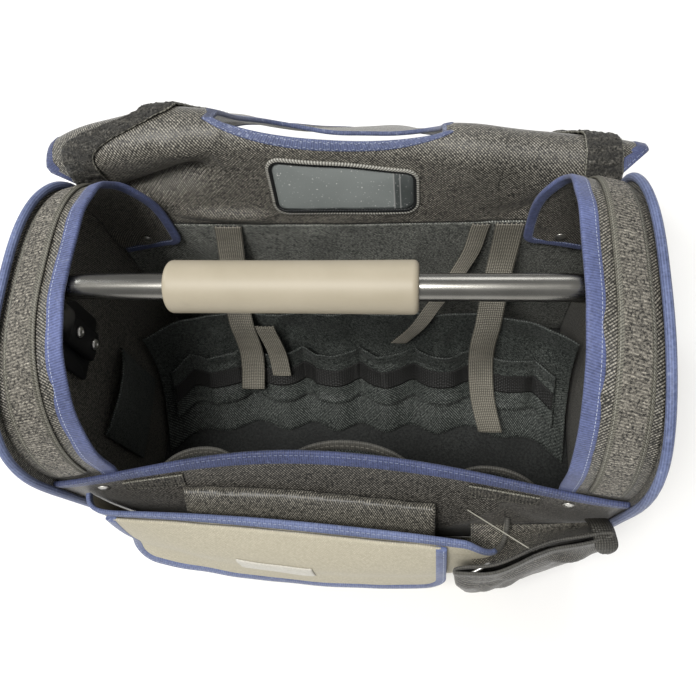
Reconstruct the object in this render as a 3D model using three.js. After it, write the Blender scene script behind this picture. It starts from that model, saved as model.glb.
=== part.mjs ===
// An open top tool tote of heavy nylon cloth: a box of stiffened cloth walls with two arched side
// panels, a hook strip along each arch, a steel carrying handle between them, a lid thrown open
// over the back, pockets inside and a bulging pocket, its flap and a pouch on the front.
// Millimetres, +Z up, +X to the right seen from the front, the front at -Y.
// The origin is on the floor, under the middle of the base.
import * as THREE from "three";

// Driving sizes of the box.
const length = 454;
const baseDepth = 236;
const rimDepth = 242;
const wallHeight = 240;
const baseThickness = 4;
const rimBindingHeight = 10;
const rimBindingThickness = 4.5;
const cloth = 2.5;
const sidePanelThickness = 2.8;
const gap = 0.3;
const seat = 0.7;

// How the cloth walls hang: the rims are pulled in at the middle and the front bulges lower down.
const frontSlump = 33;
const backSlump = 3;
const frontBelly = 14;
const slumpCentre = -20;
const slumpStart = 0.66;

// The arch of a side panel, and the strip that runs over it.
const archRise = 117;
const archPower = 2.65;
const pipingDiameter = 7;
const stripWidth = 49;
const stripCloth = 2;
const stripInset = 3;
const stripInnerRise = 127;
const stripFrontPower = 2.0;
const stripBackPower = 2.6;
const frontTail = 28;
const earLength = 30;
const earReach = 10;
const earCorner = 14;
const bindingThickness = 4;
const stripBindingWidth = 13;
const hookStripWidth = 24;
const hookStripInset = 7;
const pileThickness = 1.6;

// The lid, hinged on the top of the back wall.
const lidLength = 420;
const lidWidth = 492;
const lidHingeWidth = 438;
const wingStart = 55;
const wingClimb = 18.5;
const lidRise = 90;
const lidCurl = 20;
const lidCorner = 10.5;
const lidBindingWidth = 10;
const slotLeft = -98;
const slotRight = 84;
const slotNear = 12;
const slotFold = 100;
const slotTilt = 18;
const slotFar = 128;
const slotSag = 16;
const slotBindingWidth = 9;
const loopStripWidth = 28;
const loopStripInset = 13;
const windowLeft = -60;
const windowRight = 66;
const windowBottom = 14;
const windowHeight = 62;
const windowSlant = 14;
const windowCorner = 12;
const windowFrameWidth = 5;
const windowFrameThickness = 2.4;

// The handle.
const tubeDiameter = 19;
const handleRise = 114;
const handleBend = 46;
const footDrop = 7;
const footThickness = 8;
const footWidth = 26;
const gripDiameter = 37;
const gripLeft = -105;
const gripLength = 174;
const gripChamfer = 4;
const plateWidth = 58;
const plateHeight = 84;
const plateThickness = 3;
const screwDiameter = 10;
const screwHeadHeight = 3;
const screwSpacing = 28;
const rivetDiameter = 9;
const rivetHeight = 2;

// The front: a bulging pocket, its flap, a padded bar, loop patches and an open pouch.
const pocketLeft = -206;
const pocketRight = 140;
const pocketTop = 206;
const pocketBottom = 14;
const pocketMouthLeft = 18;
const pocketMouthRight = 38;
const pocketMouthBow = 8;
const pocketBulgeLeft = 2;
const pocketBulgeRight = -9;
const pocketCloth = 2;
const pocketBindingHeight = 7;
const flapLeft = -190;
const flapRight = 92;
const flapTop = 205.5;
const flapBottom = 112;
const flapCorner = 20;
const flapSeat = 1.6;
const flapCloth = 2.5;
const flapBindingWidth = 9;
const flapTapeUnder = 0.5;
const flapTapeOver = 0.8;
const labelLeft = -72;
const labelWidth = 66;
const labelBottom = 130;
const labelHeight = 24;
const labelThickness = 1;
const barLeft = -125;
const barRight = 83;
const barBottom = 168;
const barHeight = 36;
const barSwell = 3.5;
const barCloth = 2.5;
const barFall = 8;
const patchHeight = 13;
const patchTop = 228;
const pouchX = 157;
const pouchStandOff = 40;
const pouchLength = 122;
const pouchTurn = THREE.MathUtils.degToRad(17);
const pouchThickness = 19;
const pouchTop = 196;
const pouchHeight = 150;
const pouchWall = 2;
const pouchBindingHeight = 8;
const pouchFootRise = 5;
const pouchFootInset = 6;
const pouchTapeOver = 0.5;
const pouchBarLength = 12;
const pouchBarDiameter = 3.2;
const pouchBarDrop = 4;
const pouchTabX = 200;

// The inside: a pleated panel of pockets along the back, three pockets on the front wall,
// and webbing that hangs from the back rim.
const panelHalfLength = 218;
const panelTop = 132;
const panelTopY = 78;
const panelReach = 84;
const panelWave = 8;
const panelCorner = 30;
const panelCornerStart = 125;
const pocketRowDepth = 9;
const pocketPitch = 62;
const webbing = 25;
const narrowWebbing = 16;
const webbingThickness = 1.6;
const tabRise = 100;
const loopWebbing = 20;
const thinCloth = 1.6;
const pocketLining = 1.8;
const panelCloth = 2;
const elasticThickness = 1.4;
const pocketRowInset = 8;
const sideSeat = 0.5;
const innerPocketReach = 24;
const innerPocketShoulder = 9;

const halfLength = length / 2;
const sides = [
  ["left", -1],
  ["right", 1],
];
const innerHalfLength = halfLength - sidePanelThickness - gap;
const halfRim = rimDepth / 2;
const handleHeight = wallHeight + handleRise;
const footHeight = wallHeight - footDrop;
const pouchY = -halfRim - pouchStandOff;
const wallBottom = baseThickness + gap;

const { lerp, clamp, smoothstep } = THREE.MathUtils;
const V = (x, y, z) => new THREE.Vector3(x, y, z);
const steps = (count) => Array.from({ length: count + 1 }, (_, i) => i / count);

// A smooth curve through the rows of a short table, read by one of its named columns.
function along(rows, key, column, value) {
  const last = rows.length - 1;
  let i = rows.findIndex((row) => row[key] >= value);
  if (i < 0) i = last;
  i = clamp(i, 1, last);
  const [a, b] = [rows[i - 1], rows[i]];
  const [before, after] = [rows[Math.max(i - 2, 0)], rows[Math.min(i + 1, last)]];
  const span = b[key] - a[key];
  const k = clamp((value - a[key]) / span, 0, 1);
  const slopeA = (span * (b[column] - before[column])) / (b[key] - before[key]);
  const slopeB = (span * (after[column] - a[column])) / (after[key] - a[key]);
  const [k2, k3] = [k * k, k * k * k];
  return (
    (2 * k3 - 3 * k2 + 1) * a[column] + (k3 - 2 * k2 + k) * slopeA +
    (3 * k2 - 2 * k3) * b[column] + (k3 - k2) * slopeB
  );
}

// ---- solids ----

// A closed mesh from its corner points and triangles.
function solid(points, triangles) {
  const geometry = new THREE.BufferGeometry();
  const places = new Float32Array(points.length * 3);
  points.forEach((p, i) => p.toArray(places, i * 3));
  geometry.setAttribute("position", new THREE.BufferAttribute(places, 3));
  geometry.setIndex(triangles);
  geometry.computeVertexNormals();
  return geometry;
}

// The closed solid between two offsets of a surface, measured along its normal. region(u, v) gives
// the surface's own two coordinates for shares u and v of the piece. lift(u, v) raises both faces.
// A slit opens one row of the grid between two columns, and its two lips may lie apart.
function sheet({ surface, region, columns, rows, from, to, lift = () => 0, closed = false, slit }) {
  const points = [];
  const triangles = [];
  const seen = new Map();
  const isSplit = (i, j) => slit && j === slit.row && i > slit.start && i < slit.end;
  const vertex = (outer, i, j, far) => {
    const column = closed ? i % columns : i;
    const key = [outer, column, j, isSplit(column, j) && far].join();
    if (!seen.has(key)) {
      const [u, v] = [column / columns, j / rows];
      const [a, b, lip = far] = region(u, v, far);
      const offset = (outer ? to : from) + lift(u, v);
      points.push(raised(surface, a, b, lip, offset));
      seen.set(key, points.length - 1);
    }
    return seen.get(key);
  };
  const quad = (a, b, c, d) => triangles.push(a, b, c, a, c, d);
  const rim = (p, q, far) => {
    const corners = [[0, p], [0, q], [1, q], [1, p]];
    quad(...corners.map(([outer, [i, j]]) => vertex(outer, i, j, far)));
  };
  for (let i = 0; i < columns; i++)
    for (let j = 0; j < rows; j++) {
      const far = Boolean(slit) && j >= slit.row;
      const ring = [[i, j], [i + 1, j], [i + 1, j + 1], [i, j + 1]];
      quad(...ring.map(([a, b]) => vertex(1, a, b, far)));
      quad(...ring.reverse().map(([a, b]) => vertex(0, a, b, far)));
    }
  const all = Boolean(slit);
  for (let i = 0; i < columns; i++) {
    rim([i, 0], [i + 1, 0], false);
    rim([i + 1, rows], [i, rows], all);
    if (slit && i >= slit.start && i < slit.end) {
      rim([i + 1, slit.row], [i, slit.row], false);
      rim([i, slit.row], [i + 1, slit.row], true);
    }
  }
  for (let j = 0; !closed && j < rows; j++) {
    const far = all && j >= slit.row;
    rim([0, j + 1], [0, j], far);
    rim([columns, j], [columns, j + 1], far);
  }
  return outward(points, triangles);
}

// A point of a surface, moved along the surface's normal.
function raised(surface, a, b, far, offset) {
  const reach = 0.5;
  const alongA = surface(a + reach, b, far).sub(surface(a - reach, b, far));
  const alongB = surface(a, b + reach, far).sub(surface(a, b - reach, far));
  const normal = alongA.cross(alongB).normalize();
  return surface(a, b, far).addScaledVector(normal, offset);
}

// The mesh with its faces turned outwards: the sum of the signed volumes is positive then.
function outward(points, triangles) {
  let volume = 0;
  for (let i = 0; i < triangles.length; i += 3) {
    const [a, b, c] = [0, 1, 2].map((k) => points[triangles[i + k]]);
    volume += a.dot(b.clone().cross(c));
  }
  return solid(points, volume < 0 ? triangles.slice().reverse() : triangles);
}

// A closed solid through a row of closed loops with as many points each, both ends closed.
function loft(loops) {
  const count = loops[0].length;
  const points = loops.flat();
  const triangles = [];
  for (let k = 0; k + 1 < loops.length; k++)
    for (let i = 0; i < count; i++) {
      const [a, b] = [k * count + i, k * count + ((i + 1) % count)];
      triangles.push(a, b, b + count, a, b + count, a + count);
    }
  [0, loops.length - 1].forEach((k) => {
    const middle = loops[k].reduce((sum, p) => sum.add(p), V(0, 0, 0)).divideScalar(count);
    points.push(middle);
    for (let i = 0; i < count; i++) {
      const [a, b] = [k * count + i, k * count + ((i + 1) % count)];
      triangles.push(...(k ? [a, b] : [b, a]), points.length - 1);
    }
  });
  return outward(points, triangles);
}

// ---- materials ----

const cloths = {
  nylon: new THREE.MeshStandardMaterial({ color: 0x33312f, roughness: 0.9 }),
  lining: new THREE.MeshStandardMaterial({ color: 0x23231f, roughness: 0.95 }),
  binding: new THREE.MeshStandardMaterial({ color: 0x3f4c7e, roughness: 0.8 }),
  hook: new THREE.MeshStandardMaterial({ color: 0x2c2a28, roughness: 1 }),
  webbing: new THREE.MeshStandardMaterial({ color: 0x2a2927, roughness: 0.85 }),
  khaki: new THREE.MeshStandardMaterial({ color: 0x8d8676, roughness: 0.85 }),
  rubber: new THREE.MeshStandardMaterial({ color: 0x77726a, roughness: 0.45 }),
  steel: new THREE.MeshStandardMaterial({ color: 0xb9b4ac, roughness: 0.28, metalness: 1 }),
  plastic: new THREE.MeshStandardMaterial({ color: 0x1b1b1c, roughness: 0.5 }),
  window: new THREE.MeshStandardMaterial({ color: 0x5c6668, roughness: 0.15 }),
  frame: new THREE.MeshStandardMaterial({ color: 0x9b9c98, roughness: 0.4 }),
};

const tote = new THREE.Group();
tote.name = "open_top_tool_tote";

function add(name, geometry, material, place) {
  const mesh = new THREE.Mesh(geometry, material.clone());
  mesh.name = name;
  if (place) mesh.position.copy(place);
  tote.add(mesh);
  return mesh;
}

// ---- the walls ----

// How far a rim is pulled in: nothing at the corners, all of it near the middle.
function inward(x) {
  const reach = x < slumpCentre ? halfLength + slumpCentre : halfLength - slumpCentre;
  const share = clamp((x - slumpCentre) / reach, -1, 1);
  return Math.pow(1 - share * share, 1.5);
}

const halfDepthAt = (z) => lerp(baseDepth, rimDepth, z / wallHeight) / 2;

function frontY(x, z) {
  const up = z / wallHeight;
  const span = clamp(x / innerHalfLength, -1, 1);
  const belly = frontBelly * Math.sin(Math.PI * clamp(up, 0, 1)) * (1 - span * span);
  const top = clamp((up - slumpStart) / (1 - slumpStart), 0, 1);
  return frontSlump * inward(x) * Math.pow(top, 1.5) - halfDepthAt(z) - belly;
}

const backY = (x, z) => halfDepthAt(z) - backSlump * inward(x) * Math.pow(z / wallHeight, 3);

const frontSurface = (x, z) => V(x, frontY(x, z), z);
const backSurface = (x, z) => V(x, backY(x, z), z);

// A region of a wall between two x and two z.
const block = (x0, x1, z0, z1) => (u, v) => [lerp(x0, x1, u), lerp(z0, z1, v)];

function addWalls() {
  const corner = 6;
  const base = new THREE.Shape();
  const [hx, hy] = [halfLength, baseDepth / 2 + cloth / 2];
  base.moveTo(-hx + corner, -hy);
  base.lineTo(hx - corner, -hy);
  base.quadraticCurveTo(hx, -hy, hx, -hy + corner);
  base.lineTo(hx, hy - corner);
  base.quadraticCurveTo(hx, hy, hx - corner, hy);
  base.lineTo(-hx + corner, hy);
  base.quadraticCurveTo(-hx, hy, -hx, hy - corner);
  base.lineTo(-hx, -hy + corner);
  base.quadraticCurveTo(-hx, -hy, -hx + corner, -hy);
  const plate = { depth: baseThickness, bevelEnabled: false, curveSegments: 3 };
  add("base_panel", new THREE.ExtrudeGeometry(base, plate), cloths.nylon);

  const wall = { columns: 18, from: -cloth / 2, to: cloth / 2 };
  const rim = wallHeight - rimBindingHeight;
  const front = block(-innerHalfLength, innerHalfLength, wallBottom, rim - gap);
  add("front_wall", sheet({ ...wall, surface: frontSurface, region: front, rows: 7 }), cloths.nylon);
  const back = block(-innerHalfLength, innerHalfLength, wallBottom, wallHeight);
  add("back_wall", sheet({ ...wall, surface: backSurface, region: back, rows: 3 }), cloths.lining);
  const edge = block(-innerHalfLength, innerHalfLength, rim, wallHeight);
  const thick = { from: -rimBindingThickness / 2, to: rimBindingThickness / 2, rows: 1 };
  const binding = sheet({ ...wall, ...thick, surface: frontSurface, region: edge });
  add("front_rim_binding", binding, cloths.binding);
}

// ---- the arched side panels and the strips over them ----

// A point of an arch over the rim, from its front foot (0 degrees) to its back foot (180).
function arch(degrees, reachFront, reachBack, rise, powerFront, powerBack) {
  const angle = THREE.MathUtils.degToRad(clamp(degrees, 0, 180));
  const [c, s] = [Math.cos(angle), Math.max(Math.sin(angle), 0)];
  const power = c > 0 ? powerFront : powerBack;
  const reach = c > 0 ? reachFront : reachBack;
  const y = -Math.sign(c) * reach * Math.pow(Math.abs(c), 2 / power);
  return [y, wallHeight + rise * Math.pow(s, 2 / power)];
}

const archSteps = 22;

// The outline of a side panel: up its front edge, over the arch and down its back edge.
function sideOutline(out) {
  const half = (rimDepth + cloth) / 2;
  const foot = halfDepthAt(wallBottom) + cloth / 2;
  const edge = steps(archSteps).map((u) => {
    const [y, z] = arch(180 * u, half, half, archRise, archPower, archPower);
    return new THREE.Vector2(y, z);
  });
  edge.unshift(new THREE.Vector2(-foot, wallBottom));
  edge.push(new THREE.Vector2(foot, wallBottom));
  return edge.map((p, i) => {
    const before = edge[Math.max(i - 1, 0)];
    const after = edge[Math.min(i + 1, edge.length - 1)];
    const run = after.clone().sub(before).normalize();
    return new THREE.Vector2(p.x - run.y * out, p.y + run.x * out);
  });
}

function addSidePanels() {
  const upright = new THREE.Matrix4().makeBasis(V(0, 1, 0), V(0, 0, 1), V(1, 0, 0));
  for (const [name, side] of sides) {
    const panel = new THREE.ExtrudeGeometry(new THREE.Shape(sideOutline(0)), {
      depth: sidePanelThickness,
      bevelEnabled: false,
    });
    panel.applyMatrix4(upright);
    const x = side > 0 ? halfLength - sidePanelThickness : -halfLength;
    add(name + "_side_panel", panel, cloths.nylon, V(x, 0, 0));

    const radius = pipingDiameter / 2;
    const middle = sideOutline(radius + gap);
    const loops = middle.map((p, i) => {
      const before = middle[Math.max(i - 1, 0)];
      const after = middle[Math.min(i + 1, middle.length - 1)];
      const run = after.clone().sub(before).normalize();
      return steps(5).map((_, k) => {
        const turn = (2 * Math.PI * k) / 6;
        const [across, out] = [radius * Math.cos(turn), radius * Math.sin(turn)];
        const x = side * (halfLength - sidePanelThickness / 2) + across;
        return V(x, p.x - run.y * out, p.y + run.x * out);
      });
    });
    add(name + "_piping", loft(loops), cloths.binding);
  }
}

// The strip along an arch, as a surface: a runs from the tail in front (below 0) over the arch
// (0 to 180 degrees) to the ear at the back (above 180), both tails in millimetres below the rim.
// w runs across it, from the side panel inwards.
function stripSurface(side) {
  const inset = rimBindingThickness / 2 + seat + bindingThickness / 2;
  return (a, w) => {
    const edge = (across, rise, powerFront, powerBack) => {
      const x = side * (innerHalfLength - across);
      const front = -frontY(x, wallHeight) - inset;
      const back = backY(x, wallHeight) - inset;
      const [y, z] = arch(a, front, back, rise, powerFront, powerBack);
      const below = a < 0 ? -a : Math.max(a - 180, 0);
      const tailY = a < 0 ? frontY(x, z - below) + inset : backY(x, z - below) - inset;
      return V(x, below > 0 ? tailY : y, z - below);
    };
    const outer = edge(0, archRise - stripInset, archPower, archPower);
    const inner = edge(stripWidth, stripInnerRise, stripFrontPower, stripBackPower);
    return outer.lerp(inner, w / stripWidth);
  };
}

// The stations along a strip, and how wide the strip is there: the ear at the back reaches further
// inwards and has a round tip.
const stripStations = [
  -frontTail, -frontTail / 2, 0, 4, 9, ...steps(12).map((u) => lerp(15, 165, u)),
  171, 176, 180, 180 + earLength * 0.4, 180 + earLength * 0.7, 180 + earLength * 0.9, 180 + earLength,
];

function stripEdges(a) {
  const reach = earReach * smoothstep(a, 150, 182);
  const left = clamp((180 + earLength - a) / earCorner, 0, 1);
  const round = earCorner * (1 - Math.sqrt(1 - (1 - left) * (1 - left)));
  return [round, stripWidth + reach - round];
}

function stripRegion(start, end, w0, w1) {
  const first = stripStations.findIndex((a) => a >= start);
  const last = stripStations.findLastIndex((a) => a <= end);
  return {
    columns: last - first,
    region: (u, v) => {
      const a = stripStations[Math.round(lerp(first, last, u))];
      return [a, lerp(w0(a), w1(a), v)];
    },
  };
}

function addStrips() {
  for (const [name, side] of sides) {
    const surface = stripSurface(side);
    const inner = (a) => stripEdges(a)[1];
    const seam = (a) => inner(a) - stripBindingWidth;
    const cloth = stripRegion(-frontTail, 180 + earLength, (a) => stripEdges(a)[0], (a) => seam(a) - gap);
    const flat = { surface, from: -stripCloth / 2, to: stripCloth / 2, rows: 2 };
    add(name + "_strip", sheet({ ...flat, ...cloth }), cloths.nylon);
    const edge = stripRegion(-frontTail, 180 + earLength, seam, inner);
    const thick = { surface, from: -bindingThickness / 2, to: bindingThickness / 2, rows: 1 };
    add(name + "_strip_binding", sheet({ ...thick, ...edge }), cloths.binding);
    const hook = stripRegion(4, 171, () => hookStripInset, () => hookStripInset + hookStripWidth);
    const over = stripCloth / 2 + seat;
    const faces = side > 0 ? [over, over + pileThickness] : [-over - pileThickness, -over];
    const pile = { surface, from: faces[0], to: faces[1], rows: 2 };
    add(name + "_hook_strip", sheet({ ...pile, ...hook }), cloths.hook);
  }
}

// ---- the lid ----

// The lid along its width, from its left end (-1) to its right end (1): how high its fold stands, as
// a share of lidRise, how steeply it rises from the hinge and how steeply it falls behind the fold,
// both in degrees.
const lidFold = [
  { at: -1, rise: 0.83, lean: 87, slope: 54 },
  { at: -0.8, rise: 1.03, lean: 84, slope: 54 },
  { at: -0.6, rise: 1.13, lean: 80, slope: 54 },
  { at: -0.39, rise: 1.06, lean: 77, slope: 54 },
  { at: 0, rise: 0.95, lean: 76, slope: 54 },
  { at: 0.34, rise: 0.87, lean: 77, slope: 54 },
  { at: 0.7, rise: 0.76, lean: 82, slope: 55 },
  { at: 0.85, rise: 0.74, lean: 85, slope: 56 },
  { at: 1, rise: 0.63, lean: 87, slope: 56 },
];

const slotMiddle = (slotLeft + slotRight) / 2;
const slotShare = (x, half) => clamp((x - slotMiddle) / half, -1, 1);
const slotHalf = (slotRight - slotLeft) / 2;

// The lid as a surface: x across it, s from its hinge to its free edge. Past the slot the lid is a
// sheet of its own (far), which sags forwards between the two shoulders of the fold.
function lidSurface(x, s, far) {
  const at = x / (lidWidth / 2);
  const slope = THREE.MathUtils.degToRad(along(lidFold, "at", "slope", at));
  const lean = THREE.MathUtils.degToRad(along(lidFold, "at", "lean", at));
  const height = lidRise * along(lidFold, "at", "rise", at) - gap;
  const straight = (height - lidCurl * (1 - Math.cos(lean))) / Math.sin(lean);
  const turn = clamp((s - straight) / lidCurl, 0, lean + slope);
  const rest = Math.max(s - straight - lidCurl * (lean + slope), 0);
  const up = Math.min(s, straight);
  const heading = lean - turn;
  const y = up * Math.cos(lean) + lidCurl * (Math.sin(lean) - Math.sin(heading));
  const z = up * Math.sin(lean) + lidCurl * (Math.cos(heading) - Math.cos(lean));
  const k = slotShare(x, slotHalf + slotBindingWidth + gap);
  const end = lidLength - lidBindingWidth - gap;
  const past = clamp((end - s) / (end - slotFold - slotFar), 0, 1);
  const sag = far ? slotSag * (1 - k * k) * past : 0;
  return V(
    x,
    backY(clamp(x, -halfLength, halfLength), wallHeight) + y + rest * Math.cos(slope),
    wallHeight + seat + gap + z - rest * Math.sin(slope) - sag,
  );
}

// Where the slot's ends lie along the lid: the fold runs a little askew.
const foldAt = (k) => slotFold - (slotTilt / 2) * k;

// The slot's two lips, moved out by a margin: the near one is a shallow scoop, the far one is
// nearly straight with round corners.
function slotEdge(k, far, margin) {
  const scoop = Math.pow(Math.max(1 - Math.pow(Math.abs(k), 2.2), 0), 0.8);
  const square = Math.pow(Math.max(1 - Math.pow(Math.abs(k), 9), 0), 0.5);
  return foldAt(k) + (far ? (slotFar + margin) * square : -(slotNear + margin) * scoop);
}

// Rows of the lid's grid, as shares of the length before and behind the fold line.
const lidNearRows = [0, 0.25, 0.45, 0.6, 0.72, 0.86, 1];
const lidFarRows = [0, 0.05, 0.1, 0.16, 0.32, 0.55, 0.78, 1];
const lidBlocks = [6, 12, 6];

// The slot's columns from its left end (-1) to its right end (1), closer together at both ends.
function slotColumn(i) {
  const k = (2 * i) / lidBlocks[1] - 1;
  return Math.sin((k * Math.PI) / 2);
}

// The x of a column of the lid's grid, where the lid is half as wide as the given half.
function lidColumn(i, half) {
  const [left, slot, right] = lidBlocks;
  const reach = slotHalf + slotBindingWidth + gap;
  if (i <= left) return lerp(-half, slotMiddle - reach, i / left);
  if (i >= left + slot) return lerp(slotMiddle + reach, half, (i - left - slot) / right);
  return slotMiddle + reach * slotColumn(i - left);
}

function addLid() {
  const columns = lidBlocks[0] + lidBlocks[1] + lidBlocks[2];
  const rows = lidNearRows.length + lidFarRows.length - 2;
  const slitRow = lidNearRows.length - 1;
  const inset = lidBindingWidth + gap;
  const region = (u, v, far) => {
    const [i, j] = [Math.round(u * columns), Math.round(v * rows)];
    const back = j > slitRow || (j === slitRow && far);
    const k = slotColumn(clamp(i - lidBlocks[0], 0, lidBlocks[1]));
    const lip = slotEdge(k, back, slotBindingWidth + gap);
    const s = back ? lerp(lip, lidLength - inset, lidFarRows[j - slitRow]) : lidNearRows[j] * lip;
    const spread = smoothstep(s, wingStart + inset, wingStart + 2 * inset);
    return [lidColumn(i, lerp(lidHingeWidth / 2, lidWidth / 2 - inset, spread)), s];
  };
  const slit = { row: slitRow, start: lidBlocks[0], end: lidBlocks[0] + lidBlocks[1] };
  const flat = { surface: lidSurface, from: -cloth / 2, to: cloth / 2 };
  add("lid", sheet({ ...flat, region, columns, rows, slit }), cloths.nylon);

  addSlotBinding();
  const outer = lidOutline(0);
  const inner = lidOutline(lidBindingWidth);
  const trim = (u, v) => {
    const i = Math.round(u * (outer.length - 1));
    return [lerp(outer[i][0], inner[i][0], v), lerp(outer[i][1], inner[i][1], v)];
  };
  const tape = { surface: lidSurface, from: -bindingThickness / 2, to: bindingThickness / 2, rows: 1 };
  const binding = sheet({ ...tape, columns: outer.length - 1, region: trim });
  add("lid_edge_binding", binding, cloths.binding);

  const over = cloth / 2 + seat + 0.5;
  for (const [name, side] of sides) {
    const stations = lidRows(side).slice(0, -1);
    const first = side * (lidWidth / 2 - lidBindingWidth - loopStripInset - loopStripWidth);
    const pile = {
      surface: lidSurface, from: over, to: over + pileThickness, columns: 2, rows: stations.length - 1,
      region: (u, v) => [first + side * u * loopStripWidth, stations[Math.round(v * (stations.length - 1))]],
    };
    add("lid_" + name + "_loop_strip", sheet(pile), cloths.hook);
  }
  addWindow();
}

// The blue tape round the slot: along the near lip one way and back along the far lip.
function addSlotBinding() {
  const half = lidBlocks[1];
  const region = (u, v) => {
    const i = Math.round(u * 2 * half);
    const far = i > half;
    const k = far ? slotColumn(2 * half - i) : slotColumn(i);
    const margin = v * slotBindingWidth;
    return [slotMiddle + k * (slotHalf + margin), slotEdge(k, far, margin), far];
  };
  const tape = { surface: lidSurface, from: -bindingThickness / 2, to: bindingThickness / 2 };
  const ring = sheet({ ...tape, region, columns: 2 * half, rows: 1, closed: true });
  add("lid_slot_binding", ring, cloths.binding);
}

// The rows of the lid's grid at its left (-1) or right (1) end, from the wing's foot on.
function lidRows(side) {
  const fold = foldAt(side);
  const end = lidLength - lidBindingWidth - gap;
  const rows = [
    ...lidNearRows.map((share) => share * fold),
    ...lidFarRows.slice(1).map((share) => lerp(fold, end, share)),
  ];
  return rows.filter((s) => s >= wingStart + wingClimb);
}

// The lid's outline in x and s, moved in by an inset, from the foot of the left wing round the free
// edge to the foot of the right wing. The wings' lower edges climb outwards.
function lidOutline(inset) {
  const half = lidWidth / 2 - inset;
  const top = lidLength - inset;
  const radius = lidCorner - inset;
  const foot = [lidHingeWidth / 2 + 3, wingStart - seat + 1.2 * inset];
  const tip = [half, wingStart + wingClimb - seat + 0.5 * inset];
  const corner = steps(3).map((k) => {
    const turn = (k * Math.PI) / 2;
    return [half - radius + radius * Math.cos(turn), top - radius + radius * Math.sin(turn)];
  });
  const flank = (side) => {
    const up = lidRows(side).slice(1, -1).map((s) => [half, s]);
    return [foot, tip, ...up, ...corner].map(([x, s]) => [side * x, s]);
  };
  const columns = lidBlocks[0] + lidBlocks[1] + lidBlocks[2];
  const across = steps(columns).slice(1, -1);
  const inner = lidWidth / 2 - lidBindingWidth - gap;
  const free = across.map((u) => [lidColumn(Math.round(u * columns), inner), top]);
  return [...flank(-1), ...free, ...flank(1).reverse()];
}

// The clear window on the lid's inner face, in its raised frame. Its top edge falls to the right.
function windowOutline(inset) {
  const [left, right] = [windowLeft + inset, windowRight - inset];
  const bottom = windowBottom + inset;
  const radius = windowCorner - inset;
  const top = (x) => {
    const share = (x - windowLeft) / (windowRight - windowLeft);
    return windowBottom + windowHeight - windowSlant * share - inset;
  };
  const corner = (x, s, from) =>
    steps(4).map((k) => {
      const turn = from + (k * Math.PI) / 2;
      return [x + radius * Math.cos(turn), s + radius * Math.sin(turn)];
    });
  const across = [1 / 3, 2 / 3];
  return [
    ...corner(left + radius, bottom + radius, Math.PI),
    ...across.map((u) => [lerp(left + radius, right - radius, u), bottom]),
    ...corner(right - radius, bottom + radius, (3 * Math.PI) / 2),
    ...corner(right - radius, top(right) - radius, 0),
    ...across.map((u) => [lerp(right - radius, left + radius, u), top(lerp(right, left, u))]),
    ...corner(left + radius, top(left) - radius, Math.PI / 2),
  ];
}

function addWindow() {
  const outer = windowOutline(0);
  const inner = windowOutline(windowFrameWidth);
  const seatHeight = cloth / 2 + seat;
  const columns = outer.length;
  const between = (a, b) => (u, v) => {
    const i = Math.round(u * columns) % columns;
    return [lerp(a[i][0], b[i][0], v), lerp(a[i][1], b[i][1], v)];
  };
  const ring = { surface: lidSurface, columns, rows: 1, closed: true };
  const top = seatHeight + windowFrameThickness;
  const frame = { ...ring, from: seatHeight, to: top, region: between(outer, inner) };
  add("lid_window_frame", sheet(frame), cloths.frame);
  const edge = windowOutline(windowFrameWidth + gap);
  const paneFace = (offset) =>
    edge.map(([x, s]) => raised(lidSurface, x, s, false, seatHeight + offset));
  add("lid_window", loft([paneFace(0), paneFace(1)]), cloths.window);
}

// ---- the handle ----

// One end of the handle: down its leg to the flattened foot. drop is measured down from the end of
// the bend, as a share of the leg; deep and wide are half sizes as shares of round to flat.
const legStations = [
  { drop: 0.12, flat: 0 },
  { drop: 0.3, flat: 0.6 },
  { drop: 0.42, flat: 1 },
  { drop: 1, flat: 1 },
];

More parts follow.
